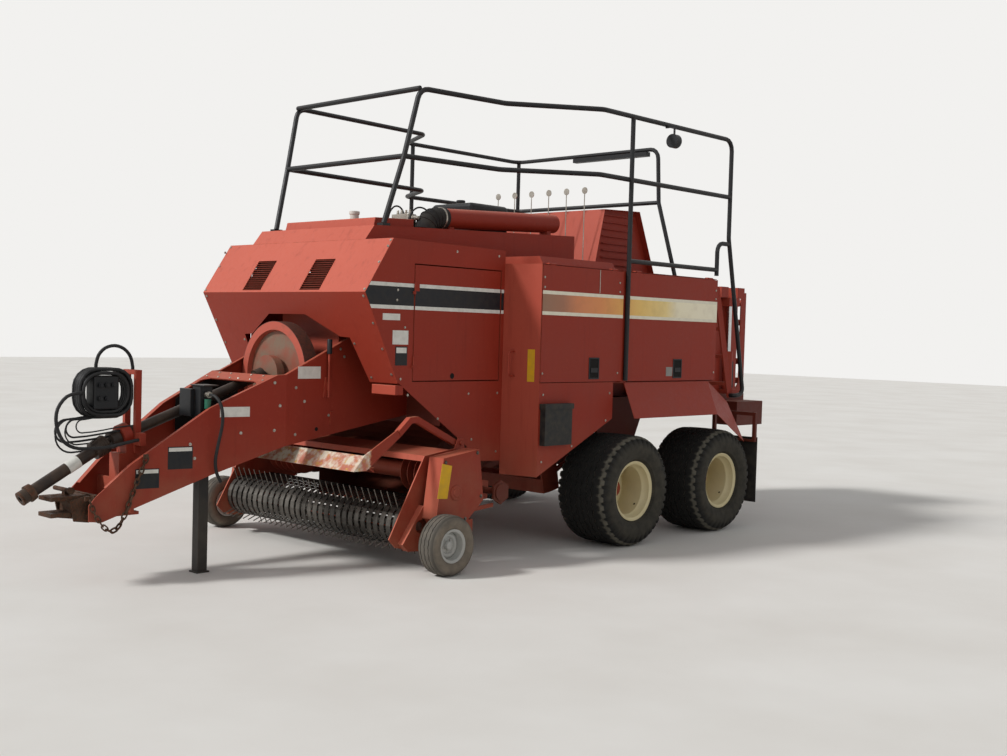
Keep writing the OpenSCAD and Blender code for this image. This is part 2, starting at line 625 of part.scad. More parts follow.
// Hose routes; the hank is tied to the stand and the hoses leave it
hose_d = 22;
hank_x = 78;
hank_low = [-3900, 1035];
hank_high = [stand_y - seat_gap, 1345];
hank_bend = 120;
stub = 15;                                // straight length at a hose's end
loop_route = [[60, -3915, 1190], [66, -4000, 1168], [80, -4066, 1095], [95, -4080, 1000], [108, -4045, 905],
    [118, -3975, 858], [122, -3880, 848], [121, -3760, 850], [120, -3650, 868], [120, -3555, 885]];
arch_route = [[-20, -3765, 1360], [-17, -3750, 1420], [-13, -3707, 1466], [-9, -3643, 1482],
    [-5, -3580, 1462], [-2, -3536, 1412], [0, -3520, 1345]];
jack_hose_route = [[290, -3120, 1175], [336, -3118, 1166], [380, -3112, 1130], [400, -3104, 1060],
    [388, -3098, 975], [364, -3108, 860], [346, -3116, 750], [344, -3103, 670], [348, -3080, 622]];
// Smooth curve through the points of a route, n steps from point to point
function curved(p, n) = concat([for (i = [0 : len(p) - 2], k = [0 : n - 1])
    let (a = p[max(i - 1, 0)], b = p[i], c = p[i + 1], d = p[min(i + 2, len(p) - 1)], t = k / n)
    0.5 * (2 * b + (c - a) * t + (2 * a - 5 * b + 4 * c - d) * t * t + (3 * b - a - 3 * c + d) * t * t * t)],
    [p[len(p) - 1]]);
module hose_hank() color(rubber_black) at_axle() {
    l = hank_low;
    h = hank_high;
    r = hank_bend;
    side_profile(concat(arc([h[0] - r, l[1] + r], r, -90, 0, 5), arc([h[0] - r, h[1] - r], r, 0, 90, 5),
        arc([l[0] + r, h[1] - r], r, 90, 180, 5), arc([l[0] + r, l[1] + r], r, 180, 270, 5)), -hank_x,
        hank_x);
}
// Hose along a route with a straight stub, given as a direction, at either end
module hose(route, first, last) color(rubber_black) at_axle()
    swept(concat([route[0] + stub * first], curved(route, 3), [route[len(route) - 1] + stub * last]),
    hose_d, 8);
module hose_loop() hose(loop_route, [0, 1, 0], [0, 1, 0]);
module hose_arch() hose(arch_route, [0, 0, -1], [0, 0, -1]);
module hose_jack() hose(jack_hose_route, [-1, 0, 0], [0, 0.4, -0.9]);

module gearbox() color(paint_red) at_axle() {
    difference() {
        union() {
            block([-330, -2100, 1060], [330, tongue_rear_y, 1860]);
            rod_y(220, -2250, -2100, 0, drive_z);
        }
        rod_y(80 + 2 * run_gap, -2251, -2150, 0, drive_z);
    }
    both_sides() block([330, -1900, 1150], [tongue_x - tongue_t, -1650, 1450]);
}
module flywheel() color(worn_steel) at_axle() {
    translate([0, flywheel_y, drive_z]) rotate([-90, 0, 0]) {
        rotate_extrude($fn = fine)
            polygon([[0, 0], [90, 0], [90, 35], [flywheel_d / 2 - 70, 35], [flywheel_d / 2 - 60, 0],
            [flywheel_d / 2, 0], [flywheel_d / 2, flywheel_w], [flywheel_d / 2 - 60, flywheel_w],
            [flywheel_d / 2 - 70, 60],
            [110, 60], [110, flywheel_w + 20], [40, flywheel_w + 20], [40, 265], [0, 265]]);
        translate([0, 0, -clutch_len]) cylinder(r = 130, h = clutch_len, $fn = fine);
    }
}
module drive_shaft() color(paint_black) at_axle() {
    len_all = norm(fly_joint - mid_joint);
    aimed(mid_joint, fly_joint) {
        translate([0, 0, joint_ball + seat_gap]) cylinder(r = 55, h = 60, $fn = fine);
        translate([0, 0, 80]) cylinder(r = 30, h = 90, $fn = fine);
        translate([0, 0, 160]) cylinder(r = 35, h = len_all - 230, $fn = fine);
        translate([0, 0, len_all - 75]) cylinder(r = 50, h = 60, $fn = fine);
        translate([0, 0, len_all]) sphere(r = joint_ball, $fn = small);
    }
}
module pto_shaft() color(paint_black) at_axle() {
    len_all = norm(pto_tip - mid_joint);
    difference() {
        aimed(mid_joint, pto_tip) {
            sphere(r = joint_ball, $fn = small);
            translate([0, 0, 12]) cylinder(r = 58, h = 100, $fn = fine);
            translate([0, 0, 110]) cylinder(r = 38, h = len_all - 170, $fn = fine);
            translate([0, 0, len_all - 90]) cylinder(r = yoke_r, h = 90, $fn = fine);
        }
        aimed(mid_joint, pto_tip) translate([0, 0, len_all - 75])
            cylinder(d = spline_d, h = 80, $fn = fine);
    }
}

// Body panels

shield_low = [-2102, 1307];
shield_fold = [-2390, 1877];
shield_top = [-2150, shoulder_z];
crown = [[-2070, 2352], [80, 2436]];
crown_x = 650;
front_door_y = [-1945, -1095];
front_door_top = 2080;

louvre_xs = [-700, -180, 180, 700];       // middles of the louvre groups
louvre_w = 110;
louvre_count = 10;
louvre_pitch = 28;
louvre_gap = 9;
module front_shield() color(paint_red) at_axle() {
    difference() {
        side_profile(bent([shield_low, shield_fold, shield_top], -sheet), -nose_x + sheet, nose_x - sheet);
        rod_y(860, -2500, -2000, 0, drive_z);
        both_sides() block([tongue_x - tongue_t - 26, -2500, 1300], [tongue_x + 6, -2000, 1515]);
        for (x = louvre_xs, k = [0 : louvre_count - 1]) {
            z = shield_fold[1] + 60 + k * louvre_pitch;
            block([x - louvre_w / 2, -2500, z], [x + louvre_w / 2, -2100, z + louvre_gap]);
        }
    }
}
module side_panels() color(paint_red) at_axle() both_sides() {
    difference() {
        side_profile([shield_low, shield_fold, shield_top, [-1050, shoulder_z - 12], [-1050, seam_z],
            [-2086, seam_z]],
            nose_x - sheet, nose_x);
        block([nose_x - sheet - 1, front_door_y[0] - door_gap, seam_z + 4],
            [nose_x + 1, front_door_y[1] + door_gap, front_door_top + door_gap]);
    }
    // lower panel beside the feeder
    side_profile([[-2080, seam_z], [-1405, 812], [-1330, 700], [-1050, 690], [-1050, seam_z]],
        nose_x - sheet, nose_x);
    // flare out to the twine boxes
    linear_z(bent([[nose_x - 3, -1053], [box_x, box_front_y]], sheet), seam_z, door_top);
    nose_hinge_pins();
    swept(rounded_path([[1040, -1029, 1500], [1040, -1090, 1500], [1040, -1090, 1320], [1040, -1029, 1320]],
        30, 3), 14, 8);
    linear_z(bent([[nose_x - 3, -1053], [box_x, box_front_y]], sheet), 590, seam_z);
    side_profile([[box_front_y, 590], [-118, 992], [-118, seam_z], [box_front_y, seam_z]], box_x - sheet,
        box_x);
}
module linear_z(points, z0, z1) translate([0, 0, z0]) linear_extrude(z1 - z0) polygon(points);

module document_box() color(paint_black) at_axle() {
    x = box_x + seat_gap;
    block([x, -965, 820], [x + 50, -661, 1100]);
    block([x, -975, 1085], [x + 58, -651, 1125]);
}
// Wire flags that show the knots, one beside each needle
module knotter_flags() color("silver") at_axle() for (x = needle_xs) {
    translate([x, 375, door_top + sheet + seat_gap]) cylinder(d = 8, h = 700, $fn = 16);
    rod_y(56, 372, 378, x, 2850);
}

module top_hood() color(paint_red) at_axle() {
    front = shield_top + 0.6 * unit(crown[0] - shield_top);
    side_profile(bent([front, crown[0], crown[1]], -sheet), -crown_x, crown_x);
    both_sides() {
        side_profile([front + [4, -sheet], crown[0], crown[1], [80, hood_low], [box_front_y, hood_low],
            [box_front_y, shoulder_z - 12]],
            crown_x - sheet, crown_x);
        side_profile(bent([shield_top + [4, 0], [-1050, shoulder_z - 12]], -sheet), crown_x,
            nose_x - sheet);
    }
    block([-crown_x + sheet, 80 - sheet, hood_low], [crown_x - sheet, 80, 2432]);
}
hood_low = door_top + sheet + seat_gap;
function hood_z(y) =
    crown[0][1] + (y - crown[0][0]) * (crown[1][1] - crown[0][1]) / (crown[1][0] - crown[0][0]);
// Block that stands on the sloping hood, from y0 to y1 and up to z
module on_hood(x0, x1, y0, y1, z)
    side_profile([[y0, hood_z(y0) + seat_gap], [y1, hood_z(y1) + seat_gap], [y1, z], [y0, z]], x0, x1);

hood_path = [[400, 2160], [530, 2704], [1020, 2724], [1270, 2160]];
hood_x = 600;
module knotter_hood() color(paint_red) at_axle() {
    side_profile(bent(hood_path, -sheet), -hood_x, hood_x);
    both_sides() side_profile([hood_path[0] + [sheet * 1.1, 0], hood_path[1] + [sheet, -sheet],
        hood_path[2] + [-sheet, -sheet],
        hood_path[3] + [-sheet * 1.1, 0]], hood_x - 60, hood_x - 56);
    // louvre blades over the side sheet
    both_sides() for (z = [2240 : 60 : 2660])
        side_profile([[555, z], [990, z], [990, z + 6], [555, z + 6]], hood_x - 57, hood_x - 30);
}

module air_duct() color(paint_red) at_axle() translate([500, 0, 0]) difference() {
    union() {
        aimed([-1300, 2470], [-20, 2535]) cylinder(r = 75, h = 1280, $fn = fine);
        for (y = [-1240, -140]) on_hood(-40, 40, y, y + 50, hood_z(y) + 60);
    }
    aimed([-1300, 2470], [-20, 2535]) translate([0, 0, 900]) cylinder(r = 71, h = 400, $fn = fine);
}
module oil_tank() color(paint_black) at_axle() on_hood(-150, 200, -870, -440, 2640);

// Door: a shallow pan with folded edges, opening face towards -X
module door_pan(y0, y1, z0, z1, x) {
    difference() {
        block([x - door_fold, y0, z0], [x, y1, z1]);
        block([x - door_fold - 1, y0 + sheet, z0 + sheet], [x - sheet, y1 - sheet, z1 - sheet]);
    }
}
// Hinges: an eye on the door turns on a pin that the panel or the box carries
eye_r = 6;
pin_r = 3;
nose_hinge = [nose_x + eye_r, front_door_y[0] - door_gap / 2];
nose_hinge_zs = [seam_z + 120, front_door_top - 180];
module front_door(side) color(paint_red) at_axle() mirror([side < 0 ? 1 : 0, 0, 0]) {
    door_pan(front_door_y[0], front_door_y[1], seam_z + 4 + door_gap, front_door_top, nose_x);
    for (z = nose_hinge_zs) difference() {
        union() {
            translate([nose_hinge[0], nose_hinge[1], z]) cylinder(r = eye_r, h = 60, $fn = small);
            block([nose_x - 2, nose_hinge[1], z], [nose_x + 3, front_door_y[0] + 40, z + 60]);
        }
        translate([nose_hinge[0], nose_hinge[1], z - 1]) cylinder(r = pin_r + run_gap, h = 62, $fn = small);
    }
}
module nose_hinge_pins() for (z = nose_hinge_zs) {
    translate([nose_hinge[0], nose_hinge[1], z - 20]) cylinder(r = pin_r, h = 75, $fn = small);
    block([nose_x - 1, nose_hinge[1] - 16, z - 21], [nose_x + 2 * eye_r, nose_hinge[1] + pin_r + 1, z - 1]);
}
top_hinge = [box_x - 2, door_top + 4];
function hinge_ys(y) = [y[0] + 80, y[1] - 140];
module box_door(side, y) color(paint_red) at_axle() mirror([side < 0 ? 1 : 0, 0, 0]) {
    door_pan(y[0], y[1], seam_z + 5, door_top - 5, box_x);
    for (h = hinge_ys(y)) difference() {
        union() {
            rod_y(2 * eye_r, h, h + 60, top_hinge[0], top_hinge[1]);
            block([box_x - sheet, h, door_top - 30], [box_x, h + 60, top_hinge[1]]);
        }
        rod_y(2 * (pin_r + run_gap), h - 1, h + 61, top_hinge[0], top_hinge[1]);
    }
}
module top_hinge_pins(y) for (h = hinge_ys(y)) {
    rod_y(2 * pin_r, h - 19, h + 58, top_hinge[0], top_hinge[1]);
    block([box_x - 26, h - 20, door_top], [top_hinge[0] + eye_r, h - 1, top_hinge[1] + eye_r]);
}
door_front_span = [box_front_y + 10, box_split[0]];
door_rear_span = [box_split[1], box_rear_y - 6];
module front_door_left() front_door(1);
module front_door_right() front_door(-1);
module box_door_left_front() box_door(1, door_front_span);
module box_door_left_rear() box_door(1, door_rear_span);
module box_door_right_front() box_door(-1, door_front_span);
module box_door_right_rear() box_door(-1, door_rear_span);

module twine_boxes() color(paint_red) at_axle() {
    both_sides() {
        x1 = box_x - door_fold - free_gap;
        walls_y = [box_front_y + 10, box_split[0] + 8, box_split[1] - 8 - sheet, box_rear_y - sheet];
        block([box_inner_x, walls_y[0], seam_z - sheet], [x1, box_rear_y, seam_z]);
        block([wall_x, walls_y[0], door_top], [box_x - 16, box_rear_y, door_top + sheet]);
        block([box_inner_x, walls_y[0], seam_z], [box_inner_x + sheet, box_rear_y, door_top]);
        block([box_inner_x + sheet, walls_y[0], 1700], [x1, box_rear_y, 1704]);
        for (y = walls_y) block([box_inner_x + sheet, y, seam_z], [x1, y + sheet, door_top]);
        // pillar between the doors
        block([x1 - 40, walls_y[1], seam_z], [pillar_x, walls_y[2] + sheet, door_top]);
        top_hinge_pins(door_front_span);
        top_hinge_pins(door_rear_span);
        // low cover over the front box
        front_profile([[box_inner_x, door_top], [box_x - 50, door_top], [box_x - 90, door_top + 62],
            [box_inner_x + 30, door_top + 62]],
            -920, -60);
    }
    // decks before and behind the knotters
    block([-wall_x, 84, door_top], [wall_x, 390, door_top + sheet]);
    block([-rail_x1 - 20, box_rear_y, door_top], [box_inner_x, deck_rear_y, door_top + sheet]);
    block([-rail_x1 - 20, deck_rear_y - sheet, door_top - 50], [box_inner_x, deck_rear_y, door_top]);
}

module fenders() color(paint_red) at_axle() both_sides() {
    low_x = 1434;
    top = seam_z - sheet - seat_gap;
    quad_panel([[box_x, 18, top], [low_x, -72, 1003], [low_x, 1074, 1003], [box_x, 1188, top]], sheet);
    quad_panel([[box_x, 1188, top], [low_x, 1074, 1003], [low_x, 1500, 757], [box_x, 1500, 1087]], sheet);
    block([box_inner_x, -118 + seat_gap, top - sheet], [box_x - 1, 1300, top]);
}
module mudflaps() color(rubber_black) at_axle() both_sides()
    block([wheel_x - 230, 1720, 210], [wheel_x + 240, 1728, 780]);

// Rails, ladder and lamps

// Plan of the side rails, [x, y]: nose corner, kink over the shoulder, kink over the doors, rear corner
rail_plan = [[700, -1720], [810, -950], [rail_x1, -350], [rail_x1, 1420]];
rail_foot = [620, -1960, 2376];
rail_lean = [670, -1830];        // the nose post where the middle rail meets it
post_y = 20;
rail_rear_y = 1450;
function at_height(p, z) = [p[0], p[1], z];
// Plan of the right side's rails, mirrored: nose corner, kink, wrap round the shoulder, rear corner
right_plan = [[700, -1720], [770, -300], [rail_x1, -50], [rail_x1, rail_rear_y]];
module rail_feet(x0, y) on_hood(x0, x0 + 60, y, y + 70, hood_z(y) + 20);
module handrail_left() color(paint_black) at_axle() {
    bent_tube(concat([rail_foot, at_height(rail_lean, rail_mid)],
        [for (p = rail_plan) at_height(p, rail_top)],
        [[rail_x1, 1420, 2500], [rail_x1 - 20, 1760, 1150], [1240, 1628, 1138],
        [1192 + seat_gap, 1628, 1138]]));
    bent_tube(concat([at_height(rail_lean, rail_mid)],
        [for (i = [1 : 3]) at_height(rail_plan[i] - [(3 - i) * 20, 0], rail_mid)]));
    bent_tube([[rail_x1, post_y, 1285], [rail_x1, post_y, rail_top]]);
    bent_tube([[rail_x1, post_y, 2220], [rail_x1, 1250, 2220]]);
    bent_tube([[rail_x1, 1250, 2170], [rail_x1, 1250, 2450], [rail_x1, 1420, 2450]], bend = 80);
    rail_feet(590, -1995);
    // rails across the nose
    bent_tube([at_height(rail_plan[0], rail_top), at_height([0, rail_plan[0][1]], rail_top)]);
    bent_tube([at_height(rail_lean, rail_mid), at_height([0, rail_lean[1]], rail_mid)]);
}
module handrail_right() color(paint_black) at_axle() mirror([1, 0, 0]) {
    deck = door_top + sheet + seat_gap;
    bent_tube(concat([rail_foot, at_height(rail_lean, rail_mid)],
        [for (p = right_plan) at_height(p, rail_top)],
        [[-460, rail_rear_y, rail_top], [-485, rail_rear_y, rail_mid], [-700, rail_rear_y, deck + 5.7]]));
    bent_tube(concat([at_height(rail_lean, rail_mid)],
        [for (p = [right_plan[1], right_plan[2], right_plan[3]]) at_height(p, rail_mid)],
        [[-480, rail_rear_y, rail_mid]]));
    bent_tube([[rail_x1, post_y, 2050], [rail_x1, post_y, rail_top]]);
    bent_tube([[rail_x1 - 20, rail_rear_y - 8, deck], [rail_x1 - 20, rail_rear_y - 8, rail_top - 10]]);
    rail_feet(590, -1995);
    bent_tube([at_height(rail_plan[0], rail_top), at_height([0.5, rail_plan[0][1]], rail_top)]);
    bent_tube([at_height(rail_lean, rail_mid), at_height([0.5, rail_lean[1]], rail_mid)]);
}
module ladder() color(paint_red) at_axle() {
    top = [1374, 2081];
    low = [1641, rail_top_z + seat_gap];
    for (x = [730, 1180])
        side_profile([top + [-40, 0], top + [40, 0], low + [40, 0], low + [-40, 0]], x, x + 12);
    for (k = [0 : 3]) {
        p = low + (top - low) * (k + 0.5) / 4;
        block([742, p[0] - 50, p[1] - 15], [1180, p[0] + 50, p[1] + 15]);
    }
    block([730, box_rear_y + seat_gap, 2030], [742, 1400, 2080]);
    block([1180, box_rear_y + seat_gap, 2030], [1192, 1400, 2080]);
}
module lamps() color(lens_amber) at_axle() {
    tray_z = rail_top - rail_tube / 2 - seat_gap;
    block([-520, rail_rear_y - 30, tray_z - 40], [350, rail_rear_y + 30, tray_z]);
    both_sides() block([wall_x + 50, chamber_rear - 160, 1170], [wall_x + 54, chamber_rear - 100, 1420]);
}

module work_lamp() color(paint_black) at_axle() {
    z1 = rail_top - rail_tube / 2 - seat_gap;
    x = rail_x1 + 80;
    block([rail_x1 - 5, 450, z1 - 10], [x + 6, 462, z1]);
    block([x - 6, 450, z1 - 75], [x + 6, 462, z1 - 5]);
    rod_y(110, 425, 485, x, z1 - 120);
}

// Pickup

module pickup_frame() color(paint_red) at_axle() {
    px = pick_plate_x;
    bar_top = [-1690, 452];
    bar_low = [-1625, 165];
    both_sides() {
        difference() {
            side_profile([[-2190, 225], [-2130, 165], [-1968, 133], [-1641, 327 - 190], [-1484, 420],
                [-1250, 430], [-1240, 560],
                [-1484, 600], [-1500, 880], [-1560, 880], [-1590, 812], [-1880, 773]], px,
                px + pick_plate_t);
            rod_x(50 + 2 * run_gap, px - 1, px + 20, lift_pivot);
            rod_x(30 + 2 * run_gap, px - 1, px + 20, guard_pivot);
            rod_x(60 + 2 * run_gap, px - 1, px + 20, reel_c);
            rod_x(60 + 2 * run_gap, px - 1, px + 20, auger_c);
        }
        // drive cover box
        difference() {
            side_profile([[-1968, 133], [-1641, 327], [-1484, 462], [-1534, 818], [-1880, 773]], 1060,
                pick_box_x1);
            rod_x(120, 1050, pick_box_x1 - 10, reel_c);
            rod_x(120, 1050, pick_box_x1 - 10, auger_c);
        }
        block([px + pick_plate_t, -1860, 560], [1060, -1760, 620]);
        // foot beside the last band, bracket behind the wheel and link to the drive
        difference() {
            side_profile([[-2110, 190], [-2060, 140], [-1960, 132], [-1925, 440]], px + pick_plate_t, 1062);
            rod_x(90, px, 1070, reel_c);
        }
        block([1130, -1720, 200], [1175, -1560, 330]);
        side_profile([[-1560, 372], [-1320, 392], [-1320, 420], [-1560, 400]], 1130, 1142);
        // stub axle of the gauge wheel
        rod_x(60, pick_box_x1, gauge_x0, gauge_c);
        rod_x(25, gauge_x0, gauge_x0 + 100, gauge_c);
    }
    // plate over the auger
    side_profile(bent([[-1886, 735], [-1876, 774], [-1640, 805]], -6), -px, px);
    // cross bars that carry the stripper bands
    block([-px, bar_top[0], bar_top[1] - 20], [px, bar_top[0] + 25, bar_top[1]]);
    block([-px, bar_low[0], bar_low[1] - 5], [px, bar_low[0] + 25, bar_low[1] + 25]);
    for (i = [0 : tine_slots]) {
        x = (i - tine_slots / 2) * tine_pitch;
        side_profile(bent(concat([bar_low + [20, -2]], arc(reel_c, band_r, -90, -250, 9),
            [bar_top + [20, -2]]), 3), x - band_w / 2, x + band_w / 2);
    }
}
module pickup_reel() color(worn_steel) at_axle() {
    bar_r = 105;
    rod_x(60, -pick_plate_x - 40, pick_plate_x + 40, reel_c);
    for (k = [0 : 3]) {
        a = 45 + 90 * k;
        p = reel_c + bar_r * [cos(a), sin(a)];
        rod_x(34, -pick_plate_x + 12, pick_plate_x - 12, p);
        for (i = [0 : tine_slots - 1]) {
            x = (i - (tine_slots - 1) / 2) * tine_pitch;
            translate([x, 0, 0]) aimed(p, reel_c + tine_r * [cos(a - 14), sin(a - 14)])
                cylinder(d = tine_d, h = norm(reel_c + tine_r * [cos(a - 14), sin(a - 14)] - p), $fn = 16);
        }
    }
    for (x = [-pick_plate_x + 20, -330, 330, pick_plate_x - 28]) rod_x(2 * bar_r + 34, x, x + 8, reel_c);
}
module feed_auger() color(paint_red) at_axle() {
    rod_x(60, -pick_plate_x - 40, pick_plate_x + 40, auger_c);
    rod_x(120, -920, 920, auger_c);
    both_sides() for (x = [640 : 70 : 920]) rod_x(290, x, x + 6, auger_c);
}
guard_tube = 42;
module wind_guard() color(paint_red) at_axle() {
    arm_x = pick_plate_x - 25;
    both_sides() {
        side_profile(bent([guard_pivot + [22, 0], [-1930, 1045], [-2005, 1040], [-2110, 950]],
            guard_tube), arm_x - 24, arm_x + 18);
        side_profile([[-2490, 700], [-2400, 800], [-2110, 960], [-2080, 915], [-2380, 700]], arm_x,
            arm_x + 12);
        rod_x(30, arm_x, pick_plate_x + 25, guard_pivot);
    }
    side_profile(bent([[-2300, 712], [-2490, 700], [-2400, 800]], -4), -arm_x, arm_x);
    for (x = [-900 : 100 : 900]) translate([x, 0, 0]) aimed([-2300, 714], [-2140, 610])
        cylinder(d = 10, h = 70, $fn = 16);
}
module gauge_tyre(side) color(rubber_black) at_axle()
    translate([side * (gauge_x0 + gauge_w / 2), gauge_c[0], gauge_c[1]])
    tyre_shape(gauge_d, gauge_w, 203, 230, [-30, 0, 30], 8, 6);
module gauge_rim(side) color(rim_grey) at_axle()
    translate([side * (gauge_x0 + gauge_w / 2), gauge_c[0], gauge_c[1]])
    rim_shape(side, 230, 203, gauge_w * 0.84, 0, 5, 60, -gauge_w / 2 + 5, 25, 25 + 2 * run_gap);
module gauge_tyre_left() gauge_tyre(1);
module gauge_tyre_right() gauge_tyre(-1);
module gauge_rim_left() gauge_rim(1);
module gauge_rim_right() gauge_rim(-1);

main_frame();
tandem_beams();
bale_chamber();
feeder_duct();
tongue();
hitch();
jack_tube();
jack_leg();
gearbox();
flywheel();
pto_shaft();
drive_shaft();
front_shield();
side_panels();
top_hood();
knotter_hood();
air_duct();
oil_tank();
front_door_left();
front_door_right();
box_door_left_front();
box_door_left_rear();
box_door_right_front();
box_door_right_rear();
twine_boxes();
fenders();
mudflaps();
handrail_left();
handrail_right();
ladder();
lamps();
tyre_left_front();
tyre_left_rear();
tyre_right_front();
tyre_right_rear();
rim_left_front();
rim_left_rear();
rim_right_front();
rim_right_rear();
pickup_frame();
pickup_reel();
feed_auger();
wind_guard();
gauge_tyre_left();
gauge_tyre_right();
gauge_rim_left();
gauge_rim_right();
needle_yoke();
density_rails();
density_rods();
chute();
document_box();
work_lamp();
knotter_flags();
chain_safety();
hose_hank();
hose_loop();
hose_arch();
hose_jack();
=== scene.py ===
# Large square baler, weathered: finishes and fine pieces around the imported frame
import functools
import json
import math

import bmesh
import bpy
from mathutils import Matrix, Vector

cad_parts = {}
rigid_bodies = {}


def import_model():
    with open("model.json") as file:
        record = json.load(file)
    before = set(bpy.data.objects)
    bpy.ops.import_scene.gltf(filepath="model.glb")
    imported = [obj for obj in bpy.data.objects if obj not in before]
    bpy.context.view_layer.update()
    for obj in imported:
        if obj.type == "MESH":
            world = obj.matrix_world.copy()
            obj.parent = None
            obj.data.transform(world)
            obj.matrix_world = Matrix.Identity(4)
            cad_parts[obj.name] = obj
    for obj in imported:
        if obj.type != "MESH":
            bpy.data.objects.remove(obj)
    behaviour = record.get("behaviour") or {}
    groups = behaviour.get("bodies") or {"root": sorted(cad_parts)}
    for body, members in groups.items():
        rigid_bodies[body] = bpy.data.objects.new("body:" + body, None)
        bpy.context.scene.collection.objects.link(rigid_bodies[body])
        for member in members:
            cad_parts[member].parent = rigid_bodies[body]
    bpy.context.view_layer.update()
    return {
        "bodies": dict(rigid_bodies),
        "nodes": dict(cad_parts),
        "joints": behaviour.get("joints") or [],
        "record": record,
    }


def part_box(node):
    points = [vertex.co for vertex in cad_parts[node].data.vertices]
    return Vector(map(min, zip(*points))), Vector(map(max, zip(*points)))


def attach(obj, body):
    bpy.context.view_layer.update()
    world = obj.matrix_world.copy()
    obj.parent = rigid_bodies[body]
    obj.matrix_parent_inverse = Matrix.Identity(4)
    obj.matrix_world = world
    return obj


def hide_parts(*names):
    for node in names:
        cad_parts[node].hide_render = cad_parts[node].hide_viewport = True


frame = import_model()
scene = bpy.context.scene
scene.view_settings.view_transform = "Standard"

# every place below is measured from the front tandem axle, as in the drawing
tyreLow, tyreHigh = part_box("tyre_left_front")
axleY = (tyreLow.y + tyreHigh.y) / 2
sides = (("left", 1), ("right", -1))
noseX = 0.943   # outer face of the side panels and nose doors
boxX = 1.25     # outer face of the twine boxes


def at(x, y, z):
    return Vector((x, y + axleY, z))


print("stage 1: frame loaded")

# camera

cameraSet = {
    "place": (7.12, -7.654, 1.63),
    "yaw": 43.03,
    "pitch": -2.09,
    "roll": 1.61,
    "focalPixels": 1227.0,
    "photoWidth": 1007,
    "sensor": 36.0,
    "farthest": 200.0,
}


def makeCamera(c):
    yaw, pitch, roll = (math.radians(c[k]) for k in ("yaw", "pitch", "roll"))
    ahead = Vector((-math.sin(yaw) * math.cos(pitch), math.cos(yaw) * math.cos(pitch), math.sin(pitch)))
    level = Vector((math.cos(yaw), math.sin(yaw), 0))
    lift = level.cross(ahead)
    right = math.cos(roll) * level + math.sin(roll) * lift
    up = math.cos(roll) * lift - math.sin(roll) * level
    data = bpy.data.cameras.new("viewpoint")
    data.sensor_width = c["sensor"]
    data.lens = c["sensor"] * c["focalPixels"] / c["photoWidth"]
    data.clip_end = c["farthest"]
    cam = bpy.data.objects.new("viewpoint", data)
    place = at(*c["place"])
    cam.matrix_world = Matrix([(right[k], up[k], -ahead[k], place[k]) for k in range(3)] + [(0, 0, 0, 1)])
    scene.collection.objects.link(cam)
    scene.camera = cam


makeCamera(cameraSet)

# colours and nodes


def linear(hexText):
    parts = [int(hexText[i:i + 2], 16) / 255 for i in (1, 3, 5)]
    return tuple(c / 12.92 if c <= 0.04045 else ((c + 0.055) / 1.055) ** 2.4 for c in parts) + (1.0,)


def perMetre(mm):
    # a pattern's real size in millimetres, as the scale of its texture
    return 1000 / mm


def plug(node, feeds):
    # a value goes to the socket of that name, or place among the open ones; a hex text becomes a colour
    # and a node gives its first output
    openSockets = [s for s in node.inputs if s.enabled]
    for key, value in feeds.items():
        socket = node.inputs[key] if isinstance(key, str) else openSockets[key]
        if isinstance(value, str):
            value = linear(value)
        if isinstance(value, bpy.types.Node):
            value = next(s for s in value.outputs if s.enabled)
        if isinstance(value, bpy.types.NodeSocket):
            node.id_data.links.new(value, socket)
        else:
            socket.default_value = value


def addNode(tree, kind, *feeds, **named):
    # names in small letters are the node's settings, the others its sockets
    node = tree.nodes.new("ShaderNode" + kind)
    if kind == "Mix":
        node.data_type = "RGBA"     # every mix here is one of colours
    for name, value in named.items():
        if name.islower():
            setattr(node, name, value)
    plug(node, dict(enumerate(feeds)))
    plug(node, {name: value for name, value in named.items() if not name.islower()})
    return node


def newMaterial(name, feeds):
    mat = bpy.data.materials.new(name)
    mat.use_nodes = True
    shader = mat.node_tree.nodes["Principled BSDF"]
    plug(shader, feeds)
    return mat, functools.partial(addNode, mat.node_tree), shader


# stage: pale floor, soft key from ahead of the machine at the picture's left, plain fill

stageSet = {
    "floorHex": "#e6e3dd", "wornHex": "#dedad3", "floorSize": 90.0, "floorBlotch": 1300, "floorRough": 0.85,
    "backHex": "#f2f1ef", "skyHex": "#f4f6fa", "ambient": 0.38,
    # each lamp: strength, where it shines from, how soft in degrees
    "lamps": {"key": (2.5, (-0.36, -0.72, 0.62), 9.0), "fill": (0.22, (0.8, -0.35, 0.45), 40.0)},
}


def makeFloor(s):
    half = s["floorSize"] / 2
    mesh = bpy.data.meshes.new("floor")
    mesh.from_pydata([(-half, -half, 0), (half, -half, 0), (half, half, 0), (-half, half, 0)], [],
                     [(0, 1, 2, 3)])
    floor = bpy.data.objects.new("floor", mesh)
    scene.collection.objects.link(floor)
    mat, add, shader = newMaterial("paintedConcrete", {"Roughness": s["floorRough"]})
    where = add("TexCoord").outputs["Object"]
    cloud = add("TexNoise", where, perMetre(s["floorBlotch"]), 4.0, 0.55)
    worn = add("MapRange", cloud, 0.35, 0.7)
    shade = add("Mix", worn, s["floorHex"], s["wornHex"])
    plug(shader, {"Base Color": shade})
    mesh.materials.append(mat)


